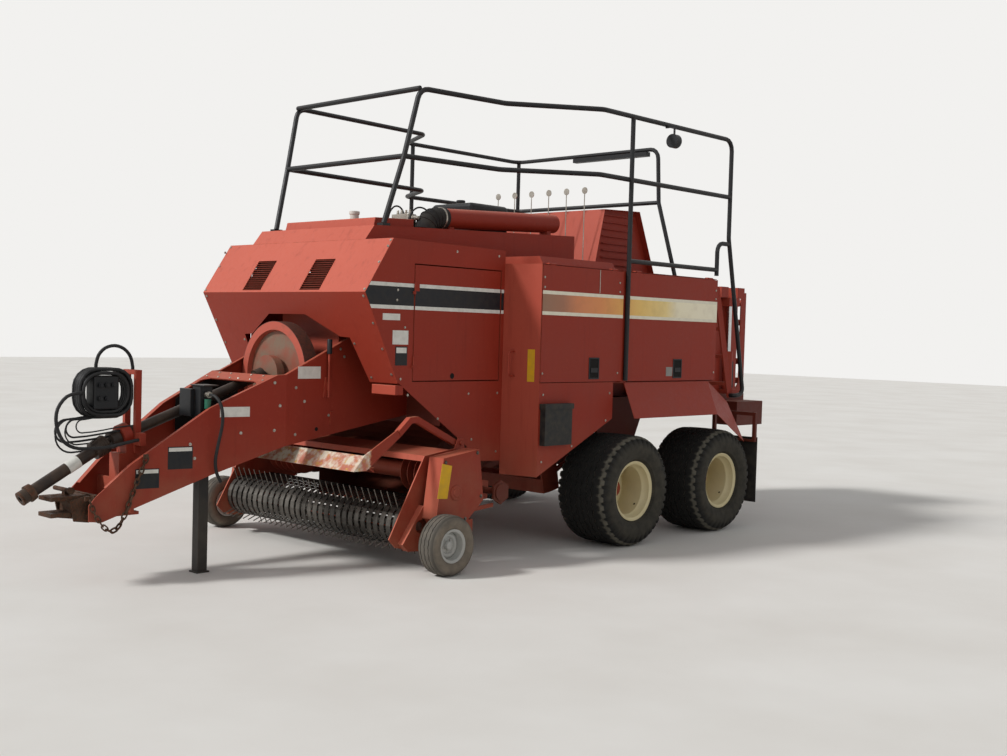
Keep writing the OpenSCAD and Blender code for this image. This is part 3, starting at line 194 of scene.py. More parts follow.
def makeLight(s):
    world = bpy.data.worlds.new("studio")
    scene.world = world
    world.use_nodes = True
    world.node_tree.nodes.clear()
    add = functools.partial(addNode, world.node_tree)
    # camera, mirror and glass rays see the pale backdrop, all others a dim even sky
    path = add("LightPath").outputs
    seen = add("Math", path["Is Camera Ray"], path["Is Glossy Ray"], operation="MAXIMUM")
    seen = add("Math", seen, path["Is Transmission Ray"], operation="MAXIMUM")
    plain = add("Background", s["skyHex"], s["ambient"])
    back = add("Background", s["backHex"], 1.0)
    both = add("MixShader", seen, plain, back)
    add("OutputWorld", both)
    for name, (strength, source, softness) in s["lamps"].items():
        lamp = bpy.data.lights.new(name, "SUN")
        lamp.energy = strength
        lamp.angle = math.radians(softness)
        holder = bpy.data.objects.new(name, lamp)
        holder.rotation_mode = "QUATERNION"
        holder.rotation_quaternion = Vector(source).to_track_quat("Z", "Y")
        scene.collection.objects.link(holder)


makeFloor(stageSet)
makeLight(stageSet)
print("stage 2: camera, floor and light made")

# materials

# each paint's pale tone is its bleached colour, and also painted sunlight on faces toward the key light
redPaint = {
    "plain": "#8f2c1b", "deep": "#6a1d11", "fadedAndSunlit": "#c4604c", "rust": "#54291a", "rustLight": "#8a4a25",
    "dust": "#a98f70",
}
blackPaint = {
    "plain": "#1b1c1e", "deep": "#101113", "fadedAndSunlit": "#3a3b3d", "rust": "#4a2a1b", "rustLight": "#6e3f24",
    "dust": "#8b7d68",
}
creamPaint = {
    "plain": "#dccfa4", "deep": "#c4b484", "fadedAndSunlit": "#ebe2c2", "rust": "#6a3d22", "rustLight": "#8f5a30",
    "dust": "#b9a37f",
}
greyPaint = {
    "plain": "#b4b6b4", "deep": "#8f918f", "fadedAndSunlit": "#c9cbc9", "rust": "#5c3a24", "rustLight": "#7d5130",
    "dust": "#a8987c",
}
# darker red for the main frame and feeder duct underneath the machine
darkUndersidePaint = {
    "plain": "#5e2217", "deep": "#3a1710", "fadedAndSunlit": "#8a4535", "rust": "#3c2117", "rustLight": "#5e3823",
    "dust": "#6d5a45",
}


def enamel(name, paint, rough=0.5, sunlitFadeAmount=1.0, dust=0.6, rust=0.5, dents=0.3, chips=0.5, gloss=0.22, bands=None,
           scraped=None):
    # sprayed enamel on rolled sheet: even colour, bleached and chalky where sun falls, paler still on faces
    # toward the key light as painted sunlight, rust at chipped edges
    mat, add, shader = newMaterial(name, {"Specular IOR Level": gloss})     # chalked paint has lost its shine
    where = add("TexCoord").outputs["Object"]
    normal = add("NewGeometry").outputs["Normal"]
    facing = add("SeparateXYZ", normal).outputs
    place = add("SeparateXYZ", where).outputs
    blotch = add("TexNoise", where, perMetre(550), 3.0, 0.55)
    fine = add("TexNoise", where, perMetre(35), 5.0, 0.65)

    # bleached, and painted as sunlit, most on slopes that look up and ahead toward the key light
    up = add("MapRange", facing["Z"], -0.6, 0.7)
    frontward = add("Math", facing["Y"], -1.0, operation="MULTIPLY")
    ahead = add("MapRange", frontward, 0.25, 0.85)
    slope = add("Math", up, ahead, operation="MULTIPLY")
    level = add("MapRange", facing["Z"], 0.5, 1.0, 0.0, 0.55)
    sunlitAndBleached = add("Math", slope, level, operation="MAXIMUM")
    sunlitAndBleached = add("Math", sunlitAndBleached, sunlitFadeAmount, operation="MULTIPLY")
    uneven = add("MapRange", blotch, 0.4, 0.75, 0.0, 0.1 * sunlitFadeAmount)
    sunlitAndBleached = add("Math", sunlitAndBleached, uneven, operation="ADD")
    thin = add("MapRange", blotch, 0.3, 0.7)
    base = add("Mix", thin, paint["plain"], paint["deep"])
    base = add("Mix", 0.4, paint["plain"], base)
    base = add("Mix", sunlitAndBleached, base, paint["fadedAndSunlit"])

    # runs of dirt that rain left, 45 mm apart and 600 mm long, and small bleached specks
    drawn = add("VectorMath", where, (22.0, 22.0, 1.6), operation="MULTIPLY")
    runs = add("TexNoise", drawn, 1.0, 3.0, 0.6)
    streak = add("MapRange", runs, 0.56, 0.76, 0.0, 0.25)
    base = add("Mix", streak, base, paint["deep"])
    speck = add("MapRange", fine, 0.55, 0.8, 0.0, 0.14)
    base = add("Mix", speck, base, paint["fadedAndSunlit"])

    # rust where the paint is chipped: at edges and in a few small spots
    bevel = add("Bevel", 0.006, samples=4)
    edge = add("VectorMath", bevel, normal, operation="DOT_PRODUCT")
    edgeWear = add("MapRange", edge, 0.985, 0.8)
    flakes = add("TexNoise", where, perMetre(60), 4.0, 0.55)
    flaked = add("MapRange", flakes, 0.47, 0.58, 0.0, chips)
    worn = add("Math", edgeWear, flaked, operation="MULTIPLY")
    pits = add("TexNoise", where, perMetre(22), 2.0, 0.5)
    spots = add("MapRange", pits, 0.71, 0.75, 0.0, rust)
    patches = add("TexNoise", where, perMetre(450), 2.0, 0.55)
    patch = add("MapRange", patches, 0.5, 0.65)
    spots = add("Math", spots, patch, operation="MULTIPLY")
    mottle = add("MapRange", fine, 0.35, 0.65)
    rustShade = add("Mix", mottle, paint["rust"], paint["rustLight"])
    rusted = add("Math", worn, spots, operation="MAXIMUM")
    base = add("Mix", rusted, base, rustShade)

    # field dust, thick near the ground and on ledges
    low = add("MapRange", place["Z"], 1.0, 0.15, 0.0, 0.5 * dust)
    ledge = add("MapRange", facing["Z"], 0.75, 1.0, 0.0, 0.45 * dust)
    lying = add("Math", low, ledge, operation="MAXIMUM")
    cover = add("TexNoise", where, perMetre(180), 5.0, 0.6)
    cover = add("MapRange", cover, 0.3, 0.7, 0.25, 1.0)
    veil = add("Math", lying, cover, operation="MULTIPLY")
    base = add("Mix", veil, base, paint["dust"])
    matt = add("MapRange", fine, 0.3, 0.7, rough - 0.05, rough + 0.1)
    rustMatt = add("Math", rusted, 0.35, operation="MULTIPLY")
    matt = add("Math", matt, rustMatt, operation="ADD")
    dustMatt = add("Math", veil, 0.3, operation="MULTIPLY")
    matt = add("Math", matt, dustMatt, operation="ADD")

    if scraped:
        # forward of this line the paint is scraped to primer and bare steel
        line = scraped + axleY
        ahead = add("MapRange", place["Y"], line + 0.03, line - 0.01)
        ragged = add("MapRange", fine, 0.3, 0.7, -0.35, 0.35)
        wear = add("Math", ahead, ragged, operation="ADD")
        wear = add("MapRange", wear, 0.35, 0.65)
        scrapes = add("TexNoise", where, perMetre(70), 4.0, 0.55)
        scrapes = add("MapRange", scrapes, 0.42, 0.58)
        bare = add("Mix", scrapes, "#d8cbb6", "#b9705c")
        straw = add("MapRange", fine, 0.55, 0.7)
        bare = add("Mix", straw, bare, "#c9a94e")
        base = add("Mix", wear, base, bare)
    if bands:
        # between the side plates the bands round the reel are steel that crop keeps bright, painted lighter
        # on their forward faces as a highlight
        halfWidth, middleY, middleZ, reach = bands
        across = add("Math", place["X"], operation="ABSOLUTE")
        across = add("MapRange", across, halfWidth, halfWidth - 0.002)
        flat = add("VectorMath", where, (0.0, middleY, middleZ), operation="SUBTRACT")
        flat = add("VectorMath", flat, (0.0, 1.0, 1.0), operation="MULTIPLY")
        away = add("VectorMath", flat, operation="LENGTH")
        near = add("MapRange", away, reach + 0.004, reach)
        steel = add("Math", across, near, operation="MULTIPLY")
        frontward = add("Math", facing["Y"], -1.0, operation="MULTIPLY")
        rubbed = add("MapRange", frontward, 0.3, 0.95)
        cloud = add("TexNoise", where, perMetre(300), 2.0, 0.55)
        cloud = add("MapRange", cloud, 0.35, 0.65, 0.25, 1.0)
        # painted highlight on the bands' forward faces, together with the crop's polish
        polishAndHighlight = add("Math", rubbed, cloud, operation="MULTIPLY")
        metal = add("Mix", polishAndHighlight, "#2e2b29", "#77736d")
        brown = add("MapRange", fine, 0.5, 0.75, 0.0, 0.6)
        metal = add("Mix", brown, metal, "#2a1f19")
        base = add("Mix", steel, base, metal)
        metallic = add("Math", steel, 0.85, operation="MULTIPLY")
        plug(shader, {"Metallic": metallic})
        polish = add("Math", steel, 0.12, operation="MULTIPLY")
        matt = add("Math", matt, polish, operation="SUBTRACT")

    # sheet that has been leant on: waves 400 mm long, orange peel of 4 mm
    wave = add("TexNoise", where, perMetre(400), 1.0, 0.55)
    wave = add("Math", wave, dents, operation="MULTIPLY")
    peel = add("TexNoise", where, perMetre(4), 1.0, 0.55)
    peel = add("Math", peel, 0.004, operation="MULTIPLY")
    relief = add("Math", wave, peel, operation="ADD")
    scale = add("Math", rusted, 0.02, operation="MULTIPLY")
    relief = add("Math", relief, scale, operation="ADD")
    bump = add("Bump", Strength=0.35, Distance=0.02, Height=relief)
    plug(shader, {"Base Color": base, "Roughness": matt, "Normal": bump})
    return mat


def bareSteel(name, hexes, rough=(0.28, 0.5), rust=0.4, grainMm=20):
    # worn bright by crop in the middle of its run, browned where nothing rubs
    mat, add, shader = newMaterial(name, {})
    bright, dull, brown = hexes
    where = add("TexCoord").outputs["Object"]
    blotch = add("TexNoise", where, perMetre(90), 4.0, 0.55)
    fine = add("TexNoise", where, perMetre(grainMm), 5.0, 0.6)
    rubbed = add("MapRange", blotch, 0.35, 0.65)
    base = add("Mix", rubbed, bright, dull)
    rusted = add("MapRange", fine, 0.45, 0.62)
    rusted = add("Math", rusted, rust, operation="MULTIPLY")
    base = add("Mix", rusted, base, brown)
    metallic = add("Math", 1.0, rusted, operation="SUBTRACT")
    matt = add("MapRange", blotch, 0.3, 0.7, *rough)
    rustMatt = add("Math", rusted, 0.4, operation="MULTIPLY")
    matt = add("Math", matt, rustMatt, operation="ADD")
    bump = add("Bump", Strength=0.3, Distance=0.002, Height=fine)
    plug(shader, {"Base Color": base, "Metallic": metallic, "Roughness": matt, "Normal": bump})
    return mat


def vulcanised(name, hexes, rough=0.8, dust=0.5, low=0.5):
    # vulcanised rubber: matt, greyed by sun, tan dust rubbed into the sides below the height low
    mat, add, shader = newMaterial(name, {"Roughness": rough, "Specular IOR Level": 0.2})
    black, grey, tan = hexes
    where = add("TexCoord").outputs["Object"]
    place = add("SeparateXYZ", where).outputs
    cloud = add("TexNoise", where, perMetre(110), 5.0, 0.6)
    fine = add("TexNoise", where, perMetre(6), 3.0, 0.55)
    aged = add("MapRange", cloud, 0.35, 0.65)
    base = add("Mix", aged, black, grey)
    nearGround = add("MapRange", place["Z"], low, 0.0, 0.25, 1.0)
    clinging = add("MapRange", cloud, 0.4, 0.7, 0.1, dust)
    soil = add("Math", nearGround, clinging, operation="MULTIPLY")
    base = add("Mix", soil, base, tan)
    bump = add("Bump", Strength=0.3, Distance=0.001, Height=fine)
    plug(shader, {"Base Color": base, "Normal": bump})
    return mat


def tyreSide(name, hexes, treadFrom):
    # tyre rubber whose tread stays black while dust clings to the sidewall, by distance from the axle
    mat, add, shader = newMaterial(name, {"Roughness": 0.78, "Specular IOR Level": 0.15})
    black, grey, tan, soil = hexes
    coords = add("TexCoord").outputs
    flat = add("VectorMath", coords["Generated"], (0.0, 0.5, 0.5), operation="SUBTRACT")
    flat = add("VectorMath", flat, (0.0, 2.0, 2.0), operation="MULTIPLY")
    away = add("VectorMath", flat, operation="LENGTH")
    cloud = add("TexNoise", coords["Object"], perMetre(80), 5.0, 0.6)
    fine = add("TexNoise", coords["Object"], perMetre(5), 3.0, 0.55)
    aged = add("MapRange", cloud, 0.35, 0.65)
    base = add("Mix", aged, black, grey)
    sidewall = add("MapRange", away, treadFrom + 0.06, treadFrom - 0.06)
    dusty = add("MapRange", cloud, 0.3, 0.7, 0.25, 0.8)
    clinging = add("Math", sidewall, dusty, operation="MULTIPLY")
    base = add("Mix", clinging, base, tan)
    # pale soil packed into the grooves and behind the shoulder blocks
    under = add("MapRange", away, 0.986, 0.974)
    over = add("MapRange", away, 0.93, 0.945)
    packed = add("Math", under, over, operation="MULTIPLY")
    clods = add("MapRange", cloud, 0.3, 0.6, 0.5, 0.95)
    packed = add("Math", packed, clods, operation="MULTIPLY")
    base = add("Mix", packed, base, soil)
    bump = add("Bump", Strength=0.3, Distance=0.001, Height=fine)
    plug(shader, {"Base Color": base, "Normal": bump})
    return mat


def plain(name, hexText, rough, spread=0.12, blotchMm=50):
    # moulded or printed piece with a little dirt in its colour
    mat, add, shader = newMaterial(name, {"Specular IOR Level": 0.25})
    where = add("TexCoord").outputs["Object"]
    cloud = add("TexNoise", where, perMetre(blotchMm), 4.0, 0.55)
    dirt = add("MapRange", cloud, 0.35, 0.75, 0.0, spread * 2)
    base = add("Mix", dirt, hexText, "#6d6354")
    matt = add("MapRange", cloud, 0.3, 0.7, rough, min(1.0, rough + 0.2))
    plug(shader, {"Base Color": base, "Roughness": matt})
    return mat


def printedVinyl(name, stops):
    # printed film: colour runs along the machine, and the sun has bleached it in clouds
    mat, add, shader = newMaterial(name, {})
    where = add("TexCoord").outputs["Object"]
    place = add("SeparateXYZ", where).outputs
    first, last = stops[0][0], stops[-1][0]
    along = add("MapRange", place["Y"], first + axleY, last + axleY)
    ramp = add("ValToRGB", along)
    band = ramp.color_ramp.elements
    while len(band) < len(stops):
        band.new(0.5)
    for element, (y, hexText) in zip(band, stops):
        element.position = (y - first) / (last - first)
    for element, (y, hexText) in zip(band, stops):
        element.color = linear(hexText)
    cloud = add("TexNoise", where, perMetre(120), 4.0, 0.55)
    bleached = add("MapRange", cloud, 0.45, 0.8, 0.0, 0.25)
    base = add("Mix", bleached, ramp, "#8c6a50")
    matt = add("MapRange", cloud, 0.3, 0.7, 0.36, 0.55)
    plug(shader, {"Base Color": base, "Roughness": matt})
    return mat


def castWheel(name, centreY, centreZ, halfRim):
    # cast and turned flywheel: red ring on the rim's face, brown disc inside it, rim's outer band darker
    mat, add, shader = newMaterial(name, {"Roughness": 0.6})
    where = add("TexCoord").outputs["Object"]
    flat = add("VectorMath", where, (0.0, centreY, centreZ), operation="SUBTRACT")
    flat = add("VectorMath", flat, (1.0, 0.0, 1.0), operation="MULTIPLY")
    away = add("VectorMath", flat, operation="LENGTH")
    cloud = add("TexNoise", where, perMetre(120), 5.0, 0.6)
    fine = add("TexNoise", where, perMetre(20), 4.0, 0.55)
    ring = add("MapRange", away, halfRim - 0.072, halfRim - 0.068)
    outer = add("MapRange", away, halfRim - 0.004, halfRim - 0.001)
    mottle = add("MapRange", cloud, 0.35, 0.65)
    disc = add("Mix", mottle, "#7a6350", "#8d4a36")
    rubbed = add("MapRange", cloud, 0.55, 0.75, 0.0, 0.6)
    face = add("Mix", rubbed, "#b4503c", "#7d4a36")
    rimMottle = add("MapRange", fine, 0.4, 0.65)
    band = add("Mix", rimMottle, "#5a3226", "#3f2a22")
    base = add("Mix", ring, disc, face)
    base = add("Mix", outer, base, band)
    bump = add("Bump", Strength=0.3, Distance=0.003, Height=fine)
    plug(shader, {"Base Color": base, "Normal": bump})
    return mat


def middle(node):
    low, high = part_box(node)
    return (low + high) / 2


flyLow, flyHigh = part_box("flywheel")
flyMiddle = middle("flywheel")
reelHalf = 0.998       # the side plates stand 4 mm outside this
bandsY = -1.95         # middle of the bands round the reel
bandsReach = 0.33      # how far round that middle they reach
scrapedFrom = -2.36    # the wind guard's front edge, which crop rubs bare

# colours of the printed band from front to rear
stripeStops = (
    (-0.98, "#8f6a52"), (-0.74, "#a06a4e"), (-0.58, "#cf7f50"), (-0.3, "#d9894c"), (-0.05, "#e0a254"),
    (0.2, "#e6bd66"), (0.55, "#ead08a"), (0.7, "#f0e6c6"), (1.3, "#f0e8cf"),
)

finish = {
    # sprayed enamels: red chalky with sun and painted paler where it faces the key light, black and cream
    # still smooth, grey dull with soil
    "red": enamel("fadedRedEnamel", redPaint),
    "guard": enamel("scrapedRedEnamel", redPaint, dust=0.9, rust=0.8, chips=0.9, scraped=scrapedFrom),
    "pickup": enamel("bandedRedEnamel", redPaint, bands=(reelHalf, axleY + bandsY, middle("pickup_reel").z,
                                                         bandsReach)),
    "black": enamel("blackEnamel", blackPaint, rough=0.42, sunlitFadeAmount=0.3, dust=0.35, rust=0.3, dents=0.0,
                    gloss=0.25),
    "cream": enamel("creamEnamel", creamPaint, rough=0.42, sunlitFadeAmount=0.4, dust=0.35, rust=0.15, dents=0.0,
                    chips=0.3),
    "grey": enamel("greyEnamel", greyPaint, rough=0.45, sunlitFadeAmount=0.3, dust=0.5, rust=0.3, dents=0.0, chips=0.3),
    "flywheel": castWheel("castIronFlywheel", flyMiddle.y, flyMiddle.z, (flyHigh.x - flyLow.x) / 2),
    "underside": enamel("darkUndersideRedEnamel", darkUndersidePaint, sunlitFadeAmount=0.5, dust=0.8, rust=0.7),
    # woven wire under dust reads as one rusty red cloth
    "screen": plain("wovenScreen", "#6a332b", 0.6, spread=0.3, blotchMm=20),
    # steels: dull mill scale, flaking rust, pale spangled zinc, dark spring wire, mirror-bright chrome
    "steel": bareSteel("millSteel", ("#7a756d", "#55504a", "#4b3222"), (0.35, 0.55), 0.6),
    "rusty": bareSteel("rustedSteel", ("#5a4a3e", "#43352b", "#5b3520"), (0.5, 0.75), 0.95, 12),
    "zinc": bareSteel("zincPlatedSteel", ("#b9b6ad", "#97938a", "#6b4a33"), (0.25, 0.45), 0.45, 8),
    "tine": bareSteel("springSteel", ("#8f8a82", "#6b665f", "#3b2f27"), (0.28, 0.45), 0.5, 10),
    "chrome": bareSteel("hardChrome", ("#c9cac9", "#b6b7b8", "#6d5138"), (0.08, 0.18), 0.05),
    # rubbers and the shaft's guard: matt and greyed, tan where dust clings
    "tyre": tyreSide("tyreRubber", ("#232322", "#2c2b29", "#4a463d", "#6a665b"), 0.86),
    "gaugeTyre": tyreSide("gaugeTyreRubber", ("#57534d", "#6a645b", "#85796a", "#4a4640"), 0.9),
    "sheetRubber": vulcanised("sheetRubber", ("#232325", "#2f2e2d", "#7c705e"), 0.85, 0.35, 0.9),
    "hose": vulcanised("hoseRubber", ("#1a1b1d", "#26272a", "#6f6556"), 0.5, 0.25, 0.2),
    "shaftGuard": vulcanised("guardPolyethylene", ("#2a2320", "#3c2f27", "#6b5a48"), 0.45, 0.5, 0.4),
    # moulded plastics and printed vinyl: even colour, half gloss, a little grime
    "green": plain("greenFitting", "#1f6b55", 0.35),
    "white": plain("whiteVinyl", "#dcdad2", 0.5),
    "creamVinyl": plain("creamVinyl", "#e9e2cd", 0.45, spread=0.06),
    "paleGrey": plain("greyVinyl", "#8f8e8a", 0.5),
    "blackVinyl": plain("blackVinyl", "#15171c", 0.42, spread=0.05),
    # near-black used as painted shade in holes, pockets and the drawbar's tunnel
    "dark": plain("shadedHole", "#0b0a0a", 0.8, spread=0.02),
    "sunset": printedVinyl("printedVinyl", stripeStops),
    "yellow": plain("yellowReflector", "#dba915", 0.32),
    "boxPlastic": plain("mouldedPolyethylene", "#1d1e1f", 0.5),
}

nodeFinish = {
    "tyre": ("tyre_",),
    "gaugeTyre": ("gauge_tyre_",),
    "sheetRubber": ("mudflaps",),
    "cream": ("rim_",),
    "grey": ("gauge_rim_",),
    "black": ("jack_", "oil_tank", "handrail_", "work_lamp", "lamps"),
    "shaftGuard": ("drive_shaft", "pto_shaft"),
    "flywheel": ("flywheel",),
    "tine": ("pickup_reel",),
    "pickup": ("pickup_frame",),
    "underside": ("feeder_duct", "main_frame"),
    "guard": ("wind_guard",),
    "rusty": ("hitch", "chain_safety"),
    "zinc": ("knotter_flags",),
    "chrome": ("density_rods",),
    "boxPlastic": ("document_box",),
    "hose": ("hose_",),
}


def finishOf(node):
    for name, starts in nodeFinish.items():
        if node.startswith(starts):
            return name
    return "red"


for node, obj in frame["nodes"].items():
    obj.data.materials.clear()
    obj.data.materials.append(finish[finishOf(node)])
print("stage 3: finishes made")

# mesh helpers


def newPiece(name, shape, finishName, body="chassis", smooth=None, replaces=(), bevel=None):
    verts, faces = shape
    mesh = bpy.data.meshes.new(name)
    mesh.from_pydata([tuple(v) for v in verts], [], faces)
    mesh.validate()
    piece = bpy.data.objects.new(name, mesh)
    scene.collection.objects.link(piece)
    mesh.materials.append(finish[finishName])
    recalc(piece)
    if smooth is not None:
        for face in mesh.polygons:
            face.use_smooth = True
        mesh.set_sharp_from_angle(angle=math.radians(smooth))
    if bevel:
        edge = piece.modifiers.new("softEdge", "BEVEL")
        edge.width = bevel
        edge.segments = 2
        edge.limit_method = "ANGLE"
    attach(piece, body)
    if replaces:
        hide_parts(*replaces)
    return piece


def recalc(piece):
    bm = bmesh.new()
    bm.from_mesh(piece.data)
    bmesh.ops.recalc_face_normals(bm, faces=bm.faces)
    bm.to_mesh(piece.data)
    bm.free()


def joined(parts):
    verts, faces = [], []
    for partVerts, partFaces in parts:
        first = len(verts)
        verts += list(partVerts)
        faces += [tuple(i + first for i in face) for face in partFaces]
    return verts, faces


def prism(near, far):
    # solid between an outline and its copy
    n = len(near)
    faces = [tuple(range(n)), tuple(range(2 * n - 1, n - 1, -1))]
    return near + far, faces + [(i, i + n, (i + 1) % n + n, (i + 1) % n) for i in range(n)]


def loopFaces(rows, columns):
    # faces of a tube bent into a ring: every row and every column closes on itself
    return [(i * columns + k, (i + 1) % rows * columns + k, (i + 1) % rows * columns + (k + 1) % columns,
             i * columns + (k + 1) % columns) for i in range(rows) for k in range(columns)]


def tubeFaces(rows, columns):
    # faces of an open tube from its first row to its last
    return [(i * columns + k, i * columns + (k + 1) % columns, (i + 1) * columns + (k + 1) % columns,
             (i + 1) * columns + k) for i in range(rows - 1) for k in range(columns)]


def roundTurn(count, start=0.0):
    return [2 * math.pi * k / count + start for k in range(count)]


def frameOf(direction):
    along = Vector(direction).normalized()
    side = along.cross(Vector((0, 0, 1)) if abs(along.z) < 0.9 else Vector((1, 0, 0))).normalized()
    return along, side, along.cross(side)


def spoke(side, up, a):
    # way out from a line at the angle a
    return math.cos(a) * side + math.sin(a) * up


def turned(profile, start, direction, steps=48):
    # profile of (distance along, radius) turned round a line; a radius of 0 closes the end
    along, side, up = frameOf(direction)
    rings = []
    verts = []
    for reach, radius in profile:
        spot = Vector(start) + along * reach
        if radius == 0:
            rings.append([len(verts)])
            verts.append(spot)
        else:
            rings.append(list(range(len(verts), len(verts) + steps)))
            verts += [spot + radius * spoke(side, up, a) for a in roundTurn(steps)]
    faces = []
    for low, high in zip(rings, rings[1:]):
        for k in range(steps):
            n = (k + 1) % steps
            if len(low) == 1:
                faces.append((low[0], high[n], high[k]))
            elif len(high) == 1:
                faces.append((low[k], low[n], high[0]))
            else:
                faces.append((low[k], low[n], high[n], high[k]))
    if len(rings[0]) > 1:
        faces.append(tuple(reversed(rings[0])))
    if len(rings[-1]) > 1:
        faces.append(tuple(rings[-1]))
    return verts, faces


def ringTurned(profile, start, direction, steps=64):
    # closed profile turned round a line: a ring without end faces
    along, side, up = frameOf(direction)
    verts = []
    for a in roundTurn(steps):
        out = spoke(side, up, a)
        verts += [Vector(start) + along * reach + radius * out for reach, radius in profile]
    return verts, loopFaces(steps, len(profile))


def tubeAlong(points, diameter, sides):
    along = [(points[min(i + 1, len(points) - 1)] - points[max(i - 1, 0)]).normalized()
             for i in range(len(points))]
    _, side, _ = frameOf(along[0])
    verts = []
    for p, t in zip(points, along):
        side = (side - t * side.dot(t)).normalized()
        up = t.cross(side)
        verts += [p + diameter / 2 * spoke(side, up, a) for a in roundTurn(sides)]
    ends = [tuple(range(sides - 1, -1, -1)), tuple((len(points) - 1) * sides + k for k in range(sides))]
    return verts, tubeFaces(len(points), sides) + ends


boxFaces = [(3, 2, 1, 0), (4, 5, 6, 7), (0, 1, 5, 4), (1, 2, 6, 5), (2, 3, 7, 6), (3, 0, 4, 7)]


def boxMesh(low, high):
    (x0, y0, z0), (x1, y1, z1) = low, high
    verts = [at(x, y, z) for x, y, z in ((x0, y0, z0), (x1, y0, z0), (x1, y1, z0), (x0, y1, z0),
                                         (x0, y0, z1), (x1, y0, z1), (x1, y1, z1), (x0, y1, z1))]
    return verts, boxFaces


def hexBolt(place, direction, size=0.01):
    # chamfered hexagon head on a washer, size is half the width over the corners
    along, side, up = frameOf(direction)
    washer = turned([(-0.002, size * 1.35), (0.0016, size * 1.35)], place, direction, 12)
    rings = [(0.0016, size), (size * 0.7, size), (size * 0.82, size * 0.84)]
    verts = [place + along * reach + radius * spoke(side, up, a)
             for reach, radius in rings for a in roundTurn(6)]
    faces = tubeFaces(3, 6) + [tuple(range(12, 18)), tuple(range(5, -1, -1))]
    return joined([washer, (verts, faces)])


def boltRow(side, x, places, size):
    # bolts on a plane of constant x
    return [hexBolt(at(side * x, y, z), (side, 0, 0), size) for y, z in places]


def plateAt(corner, across, up, out, thick=0.0014):
    # thin plate: corner, its two edges and the way it faces
    corner, across, up, out = (Vector(v) for v in (corner, across, up, out))
    out = out.normalized() * thick
    low = [corner, corner + across, corner + across + up, corner + up]
    verts = [v - out * 0.3 for v in low] + [v + out for v in low]
    return verts, boxFaces


def sidePlate(side, x, y0, y1, z0, z1, thick=0.0014):
    return plateAt(at(side * x, y0, z0), (0, y1 - y0, 0), (0, 0, z1 - z0), (side, 0, 0), thick)


# hoses: the same routes as the drawing's, a smooth curve drawn through given points

hoseSet = {
    "diameter": 0.022, "skin": 0.001, "stub": 0.015, "steps": 3,
    # routes in millimetres
    "loop": ((60, -3915, 1190), (66, -4000, 1168), (80, -4066, 1095), (95, -4080, 1000), (108, -4045, 905),
             (118, -3975, 858), (122, -3880, 848), (121, -3760, 850), (120, -3650, 868), (120, -3555, 885)),
    "arch": ((-20, -3765, 1360), (-17, -3750, 1420), (-13, -3707, 1466), (-9, -3643, 1482), (-5, -3580, 1462),
             (-2, -3536, 1412), (0, -3520, 1345)),
    "jack": ((290, -3120, 1175), (336, -3118, 1166), (380, -3112, 1130), (400, -3104, 1060),
             (388, -3098, 975), (364, -3108, 860), (346, -3116, 750), (344, -3103, 670), (348, -3080, 622)),
    "hankFront": -3.9, "hankRear": -3.5403, "hankLow": 1.035, "hankHigh": 1.345, "hankHalf": 0.078,
    "hankBend": 0.12, "hankSag": 0.016, "sagWave": 61.0, "hankLean": 0.012, "leanWave": 43.0,
    "pointsPerTurn": 28,
    # in diameters: from one turn to the next, and from the outer layer to the inner one
    "turnPitch": 1.09, "layerPitch": 1.12,
    # for each hanging hose: which way its first and its last stub leave, and its far end
    "ends": {"loop": ((0, 1, 0), (0, 1, 0), "object"), "arch": ((0, 0, -1), (0, 0, -1), "object"),
             "jack": ((-1, 0, 0), (0, 0.4, -0.9), "bare")},
}


def curved(points, steps):
    out = []
    last = len(points) - 1
    for i in range(last):
        a, b, c, d = (Vector(points[k]) for k in (max(i - 1, 0), i, i + 1, min(i + 2, last)))
        for k in range(steps):
            t = k / steps
            square, cube = 2 * a - 5 * b + 4 * c - d, 3 * b - a - 3 * c + d
            out.append(0.5 * (2 * b + (c - a) * t + square * t * t + cube * t ** 3))
    return out + [Vector(points[last])]


def hosePath(route, first, last, h):
    points = [at(x / 1000, y / 1000, z / 1000) for x, y, z in route]
    points = curved(points, h["steps"])
    return [points[0] + Vector(first) * h["stub"]] + points + [points[-1] + Vector(last) * h["stub"]]


def layCord(name, path, diameter, sides, farEnd, replaces=()):
    piece = newPiece(name, tubeAlong(path, diameter, sides), "hose", smooth=60,
                     replaces=replaces)
    length = sum((b - a).length for a, b in zip(path, path[1:]))
    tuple(path[0])


